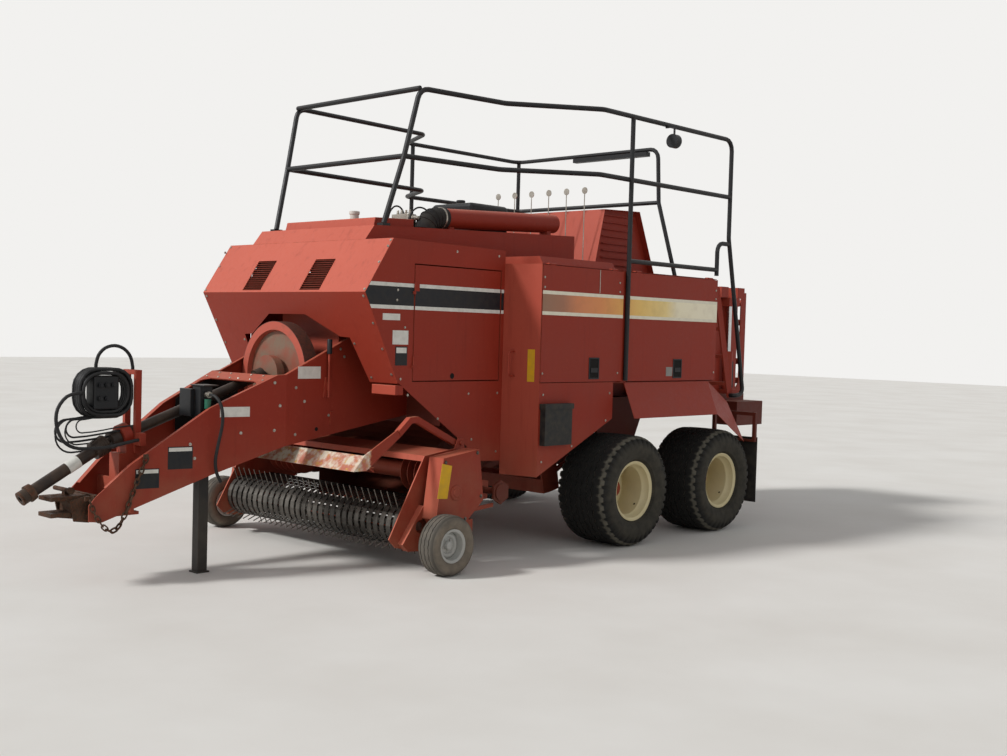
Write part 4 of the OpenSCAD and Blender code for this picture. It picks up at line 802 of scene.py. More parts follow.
def hankPoint(h, turn, inset, x):
    # point of the turn's rounded oblong, counted from the middle of the low side, forward and round
    halfY = (h["hankRear"] - h["hankFront"]) / 2 - h["diameter"] / 2 - h["skin"] - inset
    halfZ = (h["hankHigh"] - h["hankLow"]) / 2 - h["diameter"] / 2 - h["skin"] - inset
    bend = h["hankBend"] - h["diameter"] / 2
    flatY, flatZ, arc = 2 * (halfY - bend), 2 * (halfZ - bend), math.pi * bend / 2
    s = (turn % 1) * (2 * flatY + 2 * flatZ + 4 * arc)
    legs = ((flatY / 2, "low"), (arc, "lowFront"), (flatZ, "front"), (arc, "highFront"), (flatY, "high"),
            (arc, "highRear"), (flatZ, "rear"), (arc, "lowRear"), (flatY / 2, "lowEnd"))
    for length, leg in legs:
        if s <= length + 1e-9:
            break
        s -= length
    out, drop = bend * math.sin(s / bend), bend * (1 - math.cos(s / bend))
    y, z = {
        "low": (-s, -halfZ),
        "lowFront": (-flatY / 2 - out, drop - halfZ),
        "front": (-halfY, s - flatZ / 2),
        "highFront": (drop - halfY, flatZ / 2 + out),
        "high": (s - flatY / 2, halfZ),
        "highRear": (flatY / 2 + out, halfZ - drop),
        "rear": (halfY, flatZ / 2 - s),
        "lowRear": (halfY - drop, -flatZ / 2 - out),
        "lowEnd": (flatY / 2 - s, -halfZ),
    }[leg]
    # turns sag and lean forward by uneven amounts across the stand
    z -= h["hankSag"] * (0.5 + 0.5 * math.sin(x * h["sagWave"] + 0.7)) * max(0.0, -z / halfZ)
    y -= h["hankLean"] * (0.5 + 0.5 * math.sin(x * h["leanWave"])) * max(0.0, -y / halfY)
    return at(x, (h["hankRear"] + h["hankFront"]) / 2 + y, (h["hankHigh"] + h["hankLow"]) / 2 + z)


def hankPath(h):
    # two layers of turns, side by side across the stand: over on the outside and back on the inside
    perTurn = h["pointsPerTurn"]
    pitch, inset = h["diameter"] * h["turnPitch"], h["diameter"] * h["layerPitch"]
    reach = h["hankHalf"] - h["diameter"] / 2 - h["skin"]
    turns = int(2 * reach / pitch)
    edge = -reach + pitch * turns
    points = [hankPoint(h, k / perTurn, 0.0, -reach + pitch * k / perTurn)
              for k in range(turns * perTurn + 1)]
    for k in range(1, perTurn // 2 + 1):
        share = k / (perTurn // 2)
        points.append(hankPoint(h, turns + share / 2, inset * share, edge))
    for k in range(1, (turns - 1) * perTurn + 1):
        points.append(hankPoint(h, turns + 0.5 + k / perTurn, inset, edge - pitch * k / perTurn))
    return points


def makeHoses(h):
    layCord("hose_coil", hankPath(h), h["diameter"], 8, "object", ("hose_hank",))
    for name, (first, last, farEnd) in h["ends"].items():
        path = hosePath(h[name], first, last, h)
        layCord(f"hose_{name}_run", path, h["diameter"], 12, farEnd, (f"hose_{name}",))


makeHoses(hoseSet)
print("stage 4: hoses made")

# tyres: wavy ribs across the tread, and scalloped blocks on the tandem tyre's shoulders

# side: outline from bead to shoulder, each point as distance from the middle, radius, share of sway and lug
tandemTyre = {
    "radius": 0.433, "treadHalf": 0.18, "crown": 0.004, "waves": 40, "stepsPerWave": 6, "sway": 0.0085,
    "grooves": [0.36 / 7 * k - 0.18 for k in range(1, 7)], "grooveWidth": 0.011, "grooveFloor": 0.55,
    "grooveDepth": 0.013, "lugDepth": 0.016, "lugShare": 0.3,
    "side": ((0.19, 0.2171, 0, 0), (0.1985, 0.2365, 0, 0), (0.208, 0.242, 0, 0), (0.222, 0.25, 0, 0),
             (0.2265, 0.2525, 0, 0), (0.2275, 0.2575, 0, 0), (0.236, 0.275, 0, 0), (0.2425, 0.3, 0, 0),
             (0.245, 0.325, 0, 0), (0.2445, 0.348, 0, 0.25), (0.242, 0.362, 0, 0.6), (0.2375, 0.376, 0, 0.8),
             (0.2315, 0.392, 0, 0.9), (0.2235, 0.406, 0, 1), (0.2115, 0.417, 0, 1),
             (0.1975, 0.4245, 0.2, 0.75), (0.1875, 0.4275, 0.6, 0.3)),
}
gaugeTyre = {
    "radius": 0.2045, "treadHalf": 0.05, "crown": 0.0022, "waves": 30, "stepsPerWave": 6, "sway": 0.0022,
    "grooves": (-0.036, 0.0, 0.036), "grooveWidth": 0.007, "grooveFloor": 0.6, "grooveDepth": 0.006,
    "lugDepth": 0, "lugShare": 0,
    "side": ((0.052, 0.1022, 0, 0), (0.06, 0.116, 0, 0), (0.066, 0.1195, 0, 0), (0.07, 0.128, 0, 0),
             (0.0795, 0.145, 0, 0), (0.0825, 0.158, 0, 0), (0.0805, 0.17, 0, 0), (0.0755, 0.182, 0, 0),
             (0.0685, 0.192, 0, 0), (0.0625, 0.197, 0, 0), (0.0585, 0.1985, 0, 0)),
}


def zigzag(phase):
    return 4 * abs(phase - 0.5) - 1


def ripple(phase):
    return math.sin(2 * math.pi * phase)


def tyreMesh(t, centre, wave):
    columns = [(-x, *rest) for x, *rest in t["side"]]
    half = t["grooveWidth"] / 2
    for x in t["grooves"]:
        top = t["radius"] - t["crown"] * (x / t["treadHalf"]) ** 2
        for reach, deep in ((-1, 0), (-t["grooveFloor"], 1), (t["grooveFloor"], 1), (1, 0)):
            columns.append((x + half * reach, top - t["grooveDepth"] * deep, 1, 0))
    columns += reversed(t["side"])
    turns = t["waves"] * t["stepsPerWave"]
    verts = []
    for i, angle in enumerate(roundTurn(turns)):
        phase = (i % t["stepsPerWave"]) / t["stepsPerWave"]
        for x, radius, sway, lug in columns:
            notch = phase if x > 0 else (phase + 0.5) % 1
            cut = t["lugDepth"] * lug if notch < t["lugShare"] else 0.0
            q = radius - cut * (1 if radius > 0.39 else 0.55)
            push = math.copysign(cut * 0.35, x)
            across = x - push + t["sway"] * wave(phase) * sway
            verts.append(centre + Vector((across, q * math.cos(angle), q * math.sin(angle))))
    return verts, loopFaces(turns, len(columns))


# rims: rolled flange, bead seat, deep well, disc set well in, red hub with its nuts

tandemRim = {
    "flange": 0.233, "seat": 0.216, "well": 0.196, "half": 0.206, "wall": 0.007, "wellOut": 0.135,
    "wellIn": -0.045, "disc": -0.056, "hubRadius": 0.09, "capRadius": 0.068, "capFront": 0.03, "nuts": 8,
    "nutCircle": 0.112, "valveTurn": -41,
}


def makeRim(r, node, body, side):
    centre = middle(node)
    out = (side, 0, 0)
    w, f, s, d, t = (r[k] for k in ("half", "flange", "seat", "well", "wall"))
    outer = [(-w, f), (-w + 0.006, f), (-w + 0.012, s), (-0.085, s - 0.002), (r["wellIn"] - 0.012, d),
             (r["wellOut"], d), (r["wellOut"] + 0.022, s - 0.002), (w - 0.012, s), (w - 0.006, f), (w, f)]
    inner = [(w + 0.0005, f - 0.009), (w - 0.01, s - t - 0.001), (r["wellOut"] + 0.026, s - t - 0.003),
             (r["wellOut"] + 0.002, d - t), (r["wellIn"] - 0.01, d - t), (-0.09, s - t - 0.004),
             (-w + 0.01, s - t - 0.001), (-w, f - 0.009)]
    x = r["disc"]
    disc = ringTurned([(x, 0.07), (x, 0.13), (x + 0.01, 0.145), (x + 0.01, 0.172), (x - 0.002, d - t + 0.002),
                       (x - 0.012, d - t + 0.002), (x + 0.001, 0.17), (x + 0.001, 0.148), (x - 0.01, 0.13),
                       (x - 0.01, 0.07)],
                      centre, out, 72)
    newPiece(f"rolled_{node}", joined([ringTurned(outer + inner, centre, out, 72), disc]), "cream", body,
             smooth=35, replaces=(node,))
    h, c, front = r["hubRadius"], r["capRadius"], r["capFront"]
    hub = turned([(-0.104, h), (x + 0.006, h), (x + 0.01, h - 0.004), (-0.03, h - 0.006), (-0.022, c),
                  (front - 0.012, c - 0.002), (front - 0.004, c - 0.01), (front, c - 0.024), (front, 0.0)],
                 centre, out, 48)
    along, across, up = frameOf(out)
    nuts = [hexBolt(centre + along * x + r["nutCircle"] * spoke(across, up, a), out, 0.0125)
            for a in roundTurn(r["nuts"])]
    newPiece(f"hub_{node}", hub, "red", body, smooth=35)
    newPiece(f"wheel_nuts_{node}", joined(nuts), "zinc", body)
    # valve hole through the well, a thin disc painted as the hole's shade
    a = math.radians(r["valveTurn"])
    way = Vector((0, math.cos(a), math.sin(a)))
    spot = centre + along * 0.105 + way * (d - t)
    newPiece(f"valve_hole_{node}", turned([(-0.001, 0.0085), (0.0008, 0.0085)], spot, -way, 20), "dark", body)


# gauge rim: pressed grey dish with a round hub

gaugeRim = {
    "shell": ((-0.069, 0.115), (-0.064, 0.115), (-0.06, 0.1008), (-0.02, 0.098), (0.02, 0.098),
              (0.06, 0.1008), (0.064, 0.115), (0.069, 0.115), (0.069, 0.109), (0.062, 0.096), (0.02, 0.092),
              (-0.02, 0.092), (-0.062, 0.096), (-0.069, 0.109)),
    "dish": ((0.01, 0.03), (0.01, 0.052), (0.022, 0.06), (0.024, 0.074), (0.012, 0.093), (0.006, 0.093),
             (0.018, 0.074), (0.016, 0.062), (0.004, 0.052), (0.004, 0.03)),
    "hub": ((-0.076, 0.03), (0.02, 0.031), (0.026, 0.028), (0.034, 0.0265), (0.0375, 0.02), (0.0375, 0.0)),
    "bolts": 5, "boltTurn": 0.3, "boltCircle": 0.043, "boltFace": 0.0105, "boltSize": 0.007,
}


def makeGaugeRim(g, node, body, side):
    centre = middle(node)
    out = (side, 0, 0)
    parts = [ringTurned(g[part], centre, out, 56) for part in ("shell", "dish")]
    parts.append(turned(g["hub"], centre, out, 32))
    along, across, up = frameOf(out)
    for a in roundTurn(g["bolts"], g["boltTurn"]):
        place = centre + along * g["boltFace"] + g["boltCircle"] * spoke(across, up, a)
        parts.append(hexBolt(place, out, g["boltSize"]))
    newPiece(f"pressed_{node}", joined(parts), "grey", body, smooth=35, replaces=(node,))


for name, side in sides:
    for row in ("front", "rear"):
        body = f"wheel_{name}_{row}"
        node = f"tyre_{name}_{row}"
        newPiece(f"treaded_{node}", tyreMesh(tandemTyre, middle(node), zigzag), "tyre", body,
                 smooth=38, replaces=(node,))
        makeRim(tandemRim, f"rim_{name}_{row}", body, side)
    body = f"gauge_wheel_{name}"
    node = f"gauge_tyre_{name}"
    newPiece(f"ribbed_{node}", tyreMesh(gaugeTyre, middle(node), ripple), "gaugeTyre", body,
             smooth=38, replaces=(node,))
    makeGaugeRim(gaugeRim, f"gauge_rim_{name}", body, side)
print("stage 5: wheels made")

# stripes: printed film laid on the sheet, a millimetre proud

stripeSet = {
    "high": 1.949, "low": 1.772, "edge": 0.0255, "proud": 0.0012, "sunk": 0.0004,
    "edgeGap": 0.003, "frontEnd": -1.955, "doorFrom": -1.942, "doorTo": -1.098, "rearFrom": -1.085,
    "rearTo": -1.058, "boxDoors": {"front": (-0.973, -0.022), "rear": (0.062, 1.292)},
}


# front edge of the side panel: low corner, fold and shoulder, each as place along and height
panelEdge = ((-2.102, 1.307), (-2.39, 1.877), (-2.15, 2.248))


def panelEdgeY(z):
    (y0, z0), (y1, z1) = panelEdge[:2] if z <= panelEdge[1][1] else panelEdge[1:]
    return y0 + (z - z0) * (y1 - y0) / (z1 - z0)


def flatStrip(outline, x, side):
    # outline in (y, z) on a plane of constant x, given a little thickness
    near, far = x - stripeSet["sunk"], x + stripeSet["proud"]
    return prism([at(side * near, y, z) for y, z in outline], [at(side * far, y, z) for y, z in outline])


def makeStripes(s):
    rows = ((s["low"], s["low"] + s["edge"]), (s["low"] + s["edge"], s["high"] - s["edge"]),
            (s["high"] - s["edge"], s["high"]))
    foldZ = panelEdge[1][1]
    for name, side in sides:
        for k, (z0, z1) in enumerate(rows):
            noseFinish, boxFinish = ("blackVinyl", "sunset") if k == 1 else ("white", "creamVinyl")

            def strip(y0, y1, x):
                return flatStrip([(y0, z0), (y1, z0), (y1, z1), (y0, z1)], x, side)

            knots = [z0, foldZ, z1] if z0 < foldZ < z1 else [z0, z1]
            nose = [(panelEdgeY(z) + s["edgeGap"], z) for z in knots] + [(s["frontEnd"], z1),
                                                                         (s["frontEnd"], z0)]
            parts = [flatStrip(nose, noseX, side), strip(s["rearFrom"], s["rearTo"], noseX)]
            newPiece(f"stripe_nose_{name}_{k}", joined(parts), noseFinish)
            door = strip(s["doorFrom"], s["doorTo"], noseX)
            newPiece(f"stripe_nose_door_{name}_{k}", door, noseFinish, f"nose_door_{name}")
            for row, (y0, y1) in s["boxDoors"].items():
                band = strip(y0, y1, boxX)
                newPiece(f"stripe_box_{name}_{row}_{k}", band, boxFinish, f"twine_door_{name}_{row}")


makeStripes(stripeSet)
print("stage 6: stripes laid")

# plates, labels, reflectors: every one blank

pickupX = 1.2   # outer face of the pickup's drive boxes
tongueX = 0.4   # outer face of the drawbar's side plates
foldY = -2.6    # where the plates turn in towards the hitch
tongueAngle = math.atan2(0.232, 1.3)


def tonguePlate(side, d, z):
    # point on the outer face of the drawbar's front plate, d along it from the fold
    return at(side * (tongueX + d * math.sin(tongueAngle)), foldY + d * math.cos(tongueAngle), z)


def tongueOut(side):
    return Vector((side * math.cos(tongueAngle), -math.sin(tongueAngle), 0))


def onTongue(side, d0, d1, z0, z1, thick=0.0014):
    low = tonguePlate(side, d0, z0)
    return plateAt(low, tonguePlate(side, d1, z0) - low, (0, 0, z1 - z0), tongueOut(side), thick)


def onFlare(side, x0, x1, z0, z1):
    # flare runs from the nose to the twine boxes
    slope = 0.068 / 0.310
    low, far = (at(side * x, (x - 0.94) * slope - 1.053, z0) for x in (x0, x1))
    return plateAt(low, far - low, (0, 0, z1 - z0), (side * 0.214, -0.977, 0))


labelSet = {
    "white": (
        ("side", noseX, -2.232, -2.077, 1.697, 1.741), ("side", noseX, -2.14, -1.998, 1.534, 1.629),
        ("tongue", -0.475, -0.265, 1.03, 1.096), ("side", tongueX, -2.506, -2.312, 1.281, 1.364),
    ),
    "plate": (
        ("side", noseX, -2.112, -2.004, 1.392, 1.521), ("tongue", -0.823, -0.657, 0.702, 0.846),
        ("tongue", -1.033, -0.878, 0.588, 0.713),
    ),
    "fenderLow": (1.319, 0.518, 1.167), "fenderHigh": (1.425, 0.518, 1.011), "fenderAlong": 0.062,
    "flare": (1.15, 1.208, 1.283, 1.518),
    "pickup": ((-1.932, 0.504), (-1.838, 0.496), (-1.8, 0.718), (-1.893, 0.738)),
    "headThick": 0.002,
}


def makeLabels(s):
    thick = s["headThick"]
    for name, side in sides:
        pale, dark, heads = [], [], []
        for where, *span in s["white"]:
            pale.append(onTongue(side, *span) if where == "tongue" else sidePlate(side, *span))
        for where, *span in s["plate"]:
            if where == "tongue":
                d0, d1, _, z1 = span
                dark.append(onTongue(side, *span))
                heads.append(onTongue(side, d0 + 0.006, d1 - 0.006, z1 - 0.03, z1 - 0.006, thick))
            else:
                x, y0, y1, _, z1 = span
                dark.append(sidePlate(side, *span))
                heads.append(sidePlate(side, x, y0 + 0.008, y1 - 0.008, z1 - 0.045, z1 - 0.008, thick))
        newPiece(f"labels_white_{name}", joined(pale), "white")
        newPiece(f"labels_black_{name}", joined(dark), "blackVinyl")
        newPiece(f"labels_head_{name}", joined(heads), "white")
        low, high = (at(side * x, y, z) for x, y, z in (s["fenderLow"], s["fenderHigh"]))
        fender = plateAt(low, (0, s["fenderAlong"], 0), high - low,
                         (side * (low.z - high.z), 0, abs(high.x - low.x)))
        newPiece(f"fender_label_{name}", fender, "white")
        # yellow reflector strips on the flare and on the front edge of the pickup box
        newPiece(f"reflector_flare_{name}", onFlare(side, *s["flare"]), "yellow")
        newPiece(f"reflector_pickup_{name}", flatStrip(s["pickup"], pickupX, side), "yellow", "pickup")


makeLabels(labelSet)
print("stage 7: labels and reflectors laid")

# front shield: folded sheet, two louvred vents above the fold and a cut for the flywheel below it

shieldSet = {
    "fold": panelEdge[1], "top": panelEdge[2], "low": (-2.0823, 1.268), "half": 0.94, "sheet": 0.003,
    "ventX": (0.228, 0.446), "ventFrom": 0.018, "ventTo": 0.28, "blades": 14,
    # a blade's section: along the sheet from its front edge, and out of the sheet
    "bladeReach": 0.72, "bladeOut": 0.005, "bladeIn": 0.012, "bladeSheet": 0.0015, "bladeEnds": 0.002,
    "screenDepth": 0.016, "screenEdge": 0.004,
    "cut": ((0.655, 1.268), (0.612, 1.571), (0.512, 1.576), (0.21, 1.724)),
    "edgeBolts": ((0.925, 2.232), (0.925, 2.08), (0.925, 1.895)),
    "lowBolts": ((0.912, 1.85), (0.912, 1.673), (0.912, 1.502), (0.912, 1.33), (0.69, 1.3), (0.64, 1.53)),
    "boltSize": 0.0075, "lipX": (0.7, 0.9425), "lipY": (-2.104, -2.03), "lipZ": (1.19, 1.256),
}


def slab(cells, place, out, thick):
    # flat cells of a sheet folded into place: outer face, inner face and the cut edges
    index, verts, faces, edges = {}, [], [], {}
    for cell in cells:
        for p in cell:
            if p not in index:
                index[p] = len(verts)
                verts += [place(*p), place(*p) - out * thick]
        faces += [tuple(index[p] for p in cell), tuple(index[p] + 1 for p in reversed(cell))]
        for a, b in zip(cell, cell[1:] + cell[:1]):
            key = tuple(sorted((a, b)))
            edges[key] = edges.get(key, []) + [(a, b)]
    rim = [ways[0] for ways in edges.values() if len(ways) == 1]
    return verts, faces + [(index[a], index[a] + 1, index[b] + 1, index[b]) for a, b in rim]


def makeShield(s):
    fold, top, low = (at(0, *s[k]) for k in ("fold", "top", "low"))
    rise = (top - fold).normalized()
    fall = (low - fold).normalized()
    outTop = Vector((1, 0, 0)).cross(rise).normalized()
    outLow = fall.cross(Vector((1, 0, 0))).normalized()

    def onTop(x, t):
        return fold + Vector((x, 0, 0)) + rise * t

    def onLow(x, z):
        return fold + Vector((x, 0, 0)) + fall * ((fold.z - z) / -fall.z)

    a, b = s["ventX"]
    xs = [-s["half"], -b, -a, a, b, s["half"]]
    ts = [0.0, s["ventFrom"], s["ventTo"], (top - fold).length]
    cells = [[(xs[i], ts[k]), (xs[i + 1], ts[k]), (xs[i + 1], ts[k + 1]), (xs[i], ts[k + 1])]
             for i in range(5) for k in range(3) if not (k == 1 and i in (1, 3))]
    outline = [(-s["half"], fold.z), (s["half"], fold.z), (s["half"], low.z)] + list(s["cut"])
    outline += [(-x, z) for x, z in reversed(s["cut"])] + [(-s["half"], low.z)]
    sheet = [slab(cells, onTop, outTop, s["sheet"]), slab([outline], onLow, outLow, s["sheet"])]
    newPiece("folded_shield", joined(sheet), "red", replaces=("front_shield",))
    blades, screens = [], []
    pitch = (s["ventTo"] - s["ventFrom"]) / s["blades"]
    reach, thick, ends, margin = pitch * s["bladeReach"], s["bladeSheet"], s["bladeEnds"], s["screenEdge"]
    for x0, x1 in ((-b, -a), (a, b)):
        for k in range(s["blades"]):
            t = s["ventFrom"] + pitch * (k + 0.12)
            section = [(t, s["bladeOut"]), (t + reach, -s["bladeIn"]),
                       (t + reach + thick, thick - s["bladeIn"]), (t + thick, s["bladeOut"] + thick)]
            blades.append(prism(*([onTop(x, u) + outTop * d for u, d in section]
                                  for x in (x0 - ends, x1 + ends))))
        corner = onTop(x0 - margin, s["ventFrom"] - margin) - outTop * s["screenDepth"]
        screens.append(plateAt(corner, (x1 - x0 + 2 * margin, 0, 0),
                               rise * (s["ventTo"] - s["ventFrom"] + 2 * margin), outTop))
    newPiece("shield_louvres", joined(blades), "red")
    newPiece("shield_screens", joined(screens), "screen")
    bolts, lips, size = [], [], s["boltSize"]
    for _, side in sides:
        bolts += [hexBolt(onTop(side * x, (z - fold.z) / rise.z), outTop, size) for x, z in s["edgeBolts"]]
        bolts += [hexBolt(onLow(side * x, z), outLow, size) for x, z in s["lowBolts"]]
        x0, x1 = sorted(side * x for x in s["lipX"])
        lips.append(boxMesh((x0, s["lipY"][0], s["lipZ"][0]), (x1, s["lipY"][1], s["lipZ"][1])))
    newPiece("shield_bolts", joined(bolts), "zinc")
    newPiece("shield_lips", joined(lips), "red", bevel=0.004)


makeShield(shieldSet)
print("stage 8: shield made")

# roof: raised hood, moulded oil tank, air duct boot, valve block

# each fitting's outline: distance along its line and radius
roofSet = {
    "hoodX": (-0.455, 0.56), "hoodProfile": ((-2.004, 2.345), (-1.985, 2.417), (-1.62, 2.432), (-1.62, 2.36)),
    "tankLow": (-0.06, -0.87, 2.395), "tankHigh": (0.395, -0.44, 2.64), "tankBend": 0.034, "capY": -0.76,
    "cap": ((-0.004, 0.03), (0.012, 0.03), (0.013, 0.036), (0.03, 0.036), (0.034, 0.03), (0.034, 0.0)),
    "boot": ((0.5, -1.262, 2.472), (0.5, -1.32, 2.4695), (0.5, -1.37, 2.46), (0.5, -1.412, 2.44),
             (0.5, -1.44, 2.41), (0.5, -1.45, 2.374)),
    "bootDiameter": 0.156,
    "bootRib": ((-0.006, -0.002), (-0.003, 0.006), (0.003, 0.006), (0.006, -0.002)),
    "clamp": ((-0.007, 0.0775), (-0.007, 0.0815), (0.007, 0.0815), (0.007, 0.0775)),
    "fillerPlace": (-0.13, -1.6, 2.47),
    "filler": ((-0.06, 0.034), (0.03, 0.034), (0.032, 0.04), (0.052, 0.04), (0.056, 0.034), (0.056, 0.0)),
    "blockLow": (0.25, -1.56, 2.365), "blockHigh": (0.43, -1.48, 2.486), "blockY": -1.52,
    "unionX": (0.275, 0.315, 0.365, 0.405),
    "union": ((0, 0.012), (0.018, 0.012), (0.019, 0.009), (0.034, 0.009), (0.034, 0.0)),
    "coil": ((0, 0.019), (0.045, 0.019), (0.047, 0.013), (0.07, 0.013), (0.07, 0.0)),
}


def sideBox(profile, x0, x1):
    return prism([at(x0, y, z) for y, z in profile], [at(x1, y, z) for y, z in profile])


def makeRoof(r):
    newPiece("raised_hood", sideBox(r["hoodProfile"], *r["hoodX"]), "red", bevel=0.006)
    low, high = r["tankLow"], r["tankHigh"]
    tank = newPiece("moulded_tank", boxMesh(low, high), "black", smooth=30,
                    replaces=("oil_tank",))
    edge = tank.modifiers.new("mouldedEdge", "BEVEL")
    edge.width = r["tankBend"]
    edge.segments = 6
    cap = turned(r["cap"], at((low[0] + high[0]) / 2, r["capY"], high[2]), (0, 0, 1), 28)
    newPiece("tank_cap", cap, "black", smooth=35)
    # rubber boot that carries the air duct into the hood, ribbed on its bend and clamped at its mouth
    path = [at(*p) for p in curved(r["boot"], 4)]
    radius = r["bootDiameter"] / 2
    boot = [tubeAlong(path, r["bootDiameter"], 32)]
    for i in range(6, len(path) - 3, 3):
        rib = [(reach, radius + out) for reach, out in r["bootRib"]]
        boot.append(ringTurned(rib, path[i], path[i + 1] - path[i - 1], 32))
    newPiece("duct_boot", joined(boot), "sheetRubber", smooth=40)
    clamp = ringTurned(r["clamp"], path[3], path[2] - path[0], 40)
    newPiece("duct_clamp", clamp, "zinc", smooth=35)
    # white filler cap that stands behind the raised hood
    filler = turned(r["filler"], at(*r["fillerPlace"]), (0, 0, 1), 28)
    newPiece("breather_cap", filler, "white", smooth=35)
    # valve block with its unions and its coil, bolted on the raised hood
    block = [boxMesh(r["blockLow"], r["blockHigh"])]
    block += [turned(r["union"], at(x, r["blockY"], 2.485), (0, 0, 1), 6) for x in r["unionX"]]
    block.append(turned(r["coil"], at(r["blockHigh"][0], r["blockY"], 2.456), (1, 0, 0), 20))
    newPiece("valve_block", joined(block), "zinc", smooth=30, bevel=0.002)


makeRoof(roofSet)

valveHoses = {
    "diameter": 0.013,
    "first": ((0.215, -1.395, 2.376), (0.213, -1.39, 2.425), (0.212, -1.396, 2.48), (0.214, -1.42, 2.53),
              (0.218, -1.46, 2.556), (0.222, -1.51, 2.552), (0.226, -1.552, 2.515), (0.228, -1.575, 2.46),
              (0.228, -1.58, 2.415), (0.228, -1.58, 2.376)),
    "second": ((0.47, -1.375, 2.376), (0.47, -1.37, 2.42), (0.468, -1.376, 2.468), (0.465, -1.402, 2.515),
               (0.46, -1.445, 2.536), (0.456, -1.495, 2.532), (0.453, -1.54, 2.5), (0.452, -1.565, 2.45),
               (0.452, -1.57, 2.41), (0.452, -1.57, 2.376)),
}


for name in ("first", "second"):
    path = [at(*p) for p in curved(valveHoses[name], 3)]
    layCord(f"valve_hose_{name}", path, valveHoses["diameter"], 10, "object")
print("stage 9: roof made")

# drawbar: tunnel of sheet round the shaft, painted near-black as the shade inside the drawbar, deck with a
# rounded opening, bolts

drawbarSet = {
    "tunnelX": 0.372, "tunnelFront": -3.03, "tunnelRear": -2.47, "tunnelLow": 0.862, "tunnelSheet": 0.003,
    "floorHalf": 0.27, "tunnelIn": 0.045, "tunnelUnder": 0.02, "tunnelRows": 8,
    "stripY": -2.765, "stripZ": 1.259, "stripSlope": 0.4536, "cornerBend": 0.075, "cornerIn": 0.034,
    "cornerSheet": 0.006, "rearBolts": ((-2.446, 1.125), (-2.104, 1.433), (-2.139, 1.487), (-2.233, 1.023),
                                        (-2.52, 0.9), (-2.52, 1.22)),
    "frontBolts": ((-0.326, 0.923), (-0.084, 0.934), (-0.087, 1.255), (-0.644, 0.767), (-0.675, 0.859),
                   (-0.045, 1.1)),
    "holes": ((-2.271, 1.197), (-2.338, 0.931)),
    # top edge of the plates ahead of the fold: place along and height
    "edge": ((-3.9, 0.5), (-3.854, 0.556), (-3.644, 0.743), (-3.131, 1.092), (-2.666, 1.305), (-2.6, 1.309)),
    "hole": ((-0.001, 0.014), (0.0008, 0.014)), "boltSize": 0.008, "deckBoltSize": 0.007,
    "deckBolts": ((0.05, 0.02), (0.12, 0.078), (0.19, 0.02), (0.26, 0.078), (0.33, 0.02)),
    "deckOut": (0, -0.42, 0.907),
}


def topEdge(y):
    edge = drawbarSet["edge"]
    for (a, za), (b, zb) in zip(edge, edge[1:]):
        if y <= b:
            return za + (zb - za) * (y - a) / (b - a)
    return edge[-1][1]


def plateX(y):
    # outer face of the drawbar's plate at y, ahead of the fold
    return tongueX + (y - foldY) * math.tan(tongueAngle)


def tunnelWall(d, side):
    t, floor, rows = d["tunnelSheet"], d["tunnelLow"], d["tunnelRows"]
    verts = []
    for k in range(rows + 1):
        y = d["tunnelFront"] + (d["tunnelRear"] - d["tunnelFront"]) * k / rows
        x, top = min(d["tunnelX"], plateX(min(y, foldY)) - d["tunnelIn"]), topEdge(y) - d["tunnelUnder"]
        verts += [at(side * px, y, z) for px, z in ((x, floor), (x, top), (x - t, top), (x - t, floor))]
    return verts, tubeFaces(rows + 1, 4) + [(0, 1, 2, 3), tuple(len(verts) - 4 + k for k in (3, 2, 1, 0))]


def cornerGusset(d, side):
    # fills the corner between the deck strip and the plate's folded edge, round on its open side
    y0, bend = d["stripY"], d["cornerBend"]
    x0 = plateX(y0) - d["cornerIn"]
    arc = [(x0 - bend + bend * math.cos(a), y0 - bend + bend * math.sin(a))
           for a in (math.pi / 2 * k / 8 for k in range(9))]
    rim = [(x0, y0)] + arc

    def level(x, y):
        return at(side * x, y, topEdge(y) - 0.0015)

    return slab([[rim[0], rim[k], rim[k + 1]] for k in range(1, 9)], level, Vector((0, 0, 1)),
                d["cornerSheet"])


def makeDrawbar(d):
    floor = boxMesh((-d["floorHalf"], d["tunnelFront"], d["tunnelLow"] - d["tunnelSheet"]),
                    (d["floorHalf"], d["tunnelRear"], d["tunnelLow"]))
    # painted shade: near-black sheet where the drawbar is dark inside
    newPiece("shaded_shaft_tunnel", joined([tunnelWall(d, 1), tunnelWall(d, -1), floor]), "dark")
    gussets = [cornerGusset(d, 1), cornerGusset(d, -1)]
    newPiece("deck_gussets", joined(gussets), "red")
    for name, side in sides:
        bolts = boltRow(side, tongueX, d["rearBolts"], d["boltSize"])
        bolts += [hexBolt(tonguePlate(side, along, z), tongueOut(side), d["boltSize"]) for along,
                  z in d["frontBolts"]]
        for x, behind in d["deckBolts"]:
            place = at(side * x, d["stripY"] + behind, d["stripZ"] + behind * d["stripSlope"])
            bolts.append(hexBolt(place, d["deckOut"], d["deckBoltSize"]))
        newPiece(f"drawbar_bolts_{name}", joined(bolts), "zinc")
        # holes drawn as thin discs of painted shade
        holes = [turned(d["hole"], at(side * tongueX, y, z), (side, 0, 0), 20) for y, z in d["holes"]]
        newPiece(f"drawbar_holes_{name}", joined(holes), "dark")


makeDrawbar(drawbarSet)

# jack: square tube in a square tube, the photograph's narrow leg

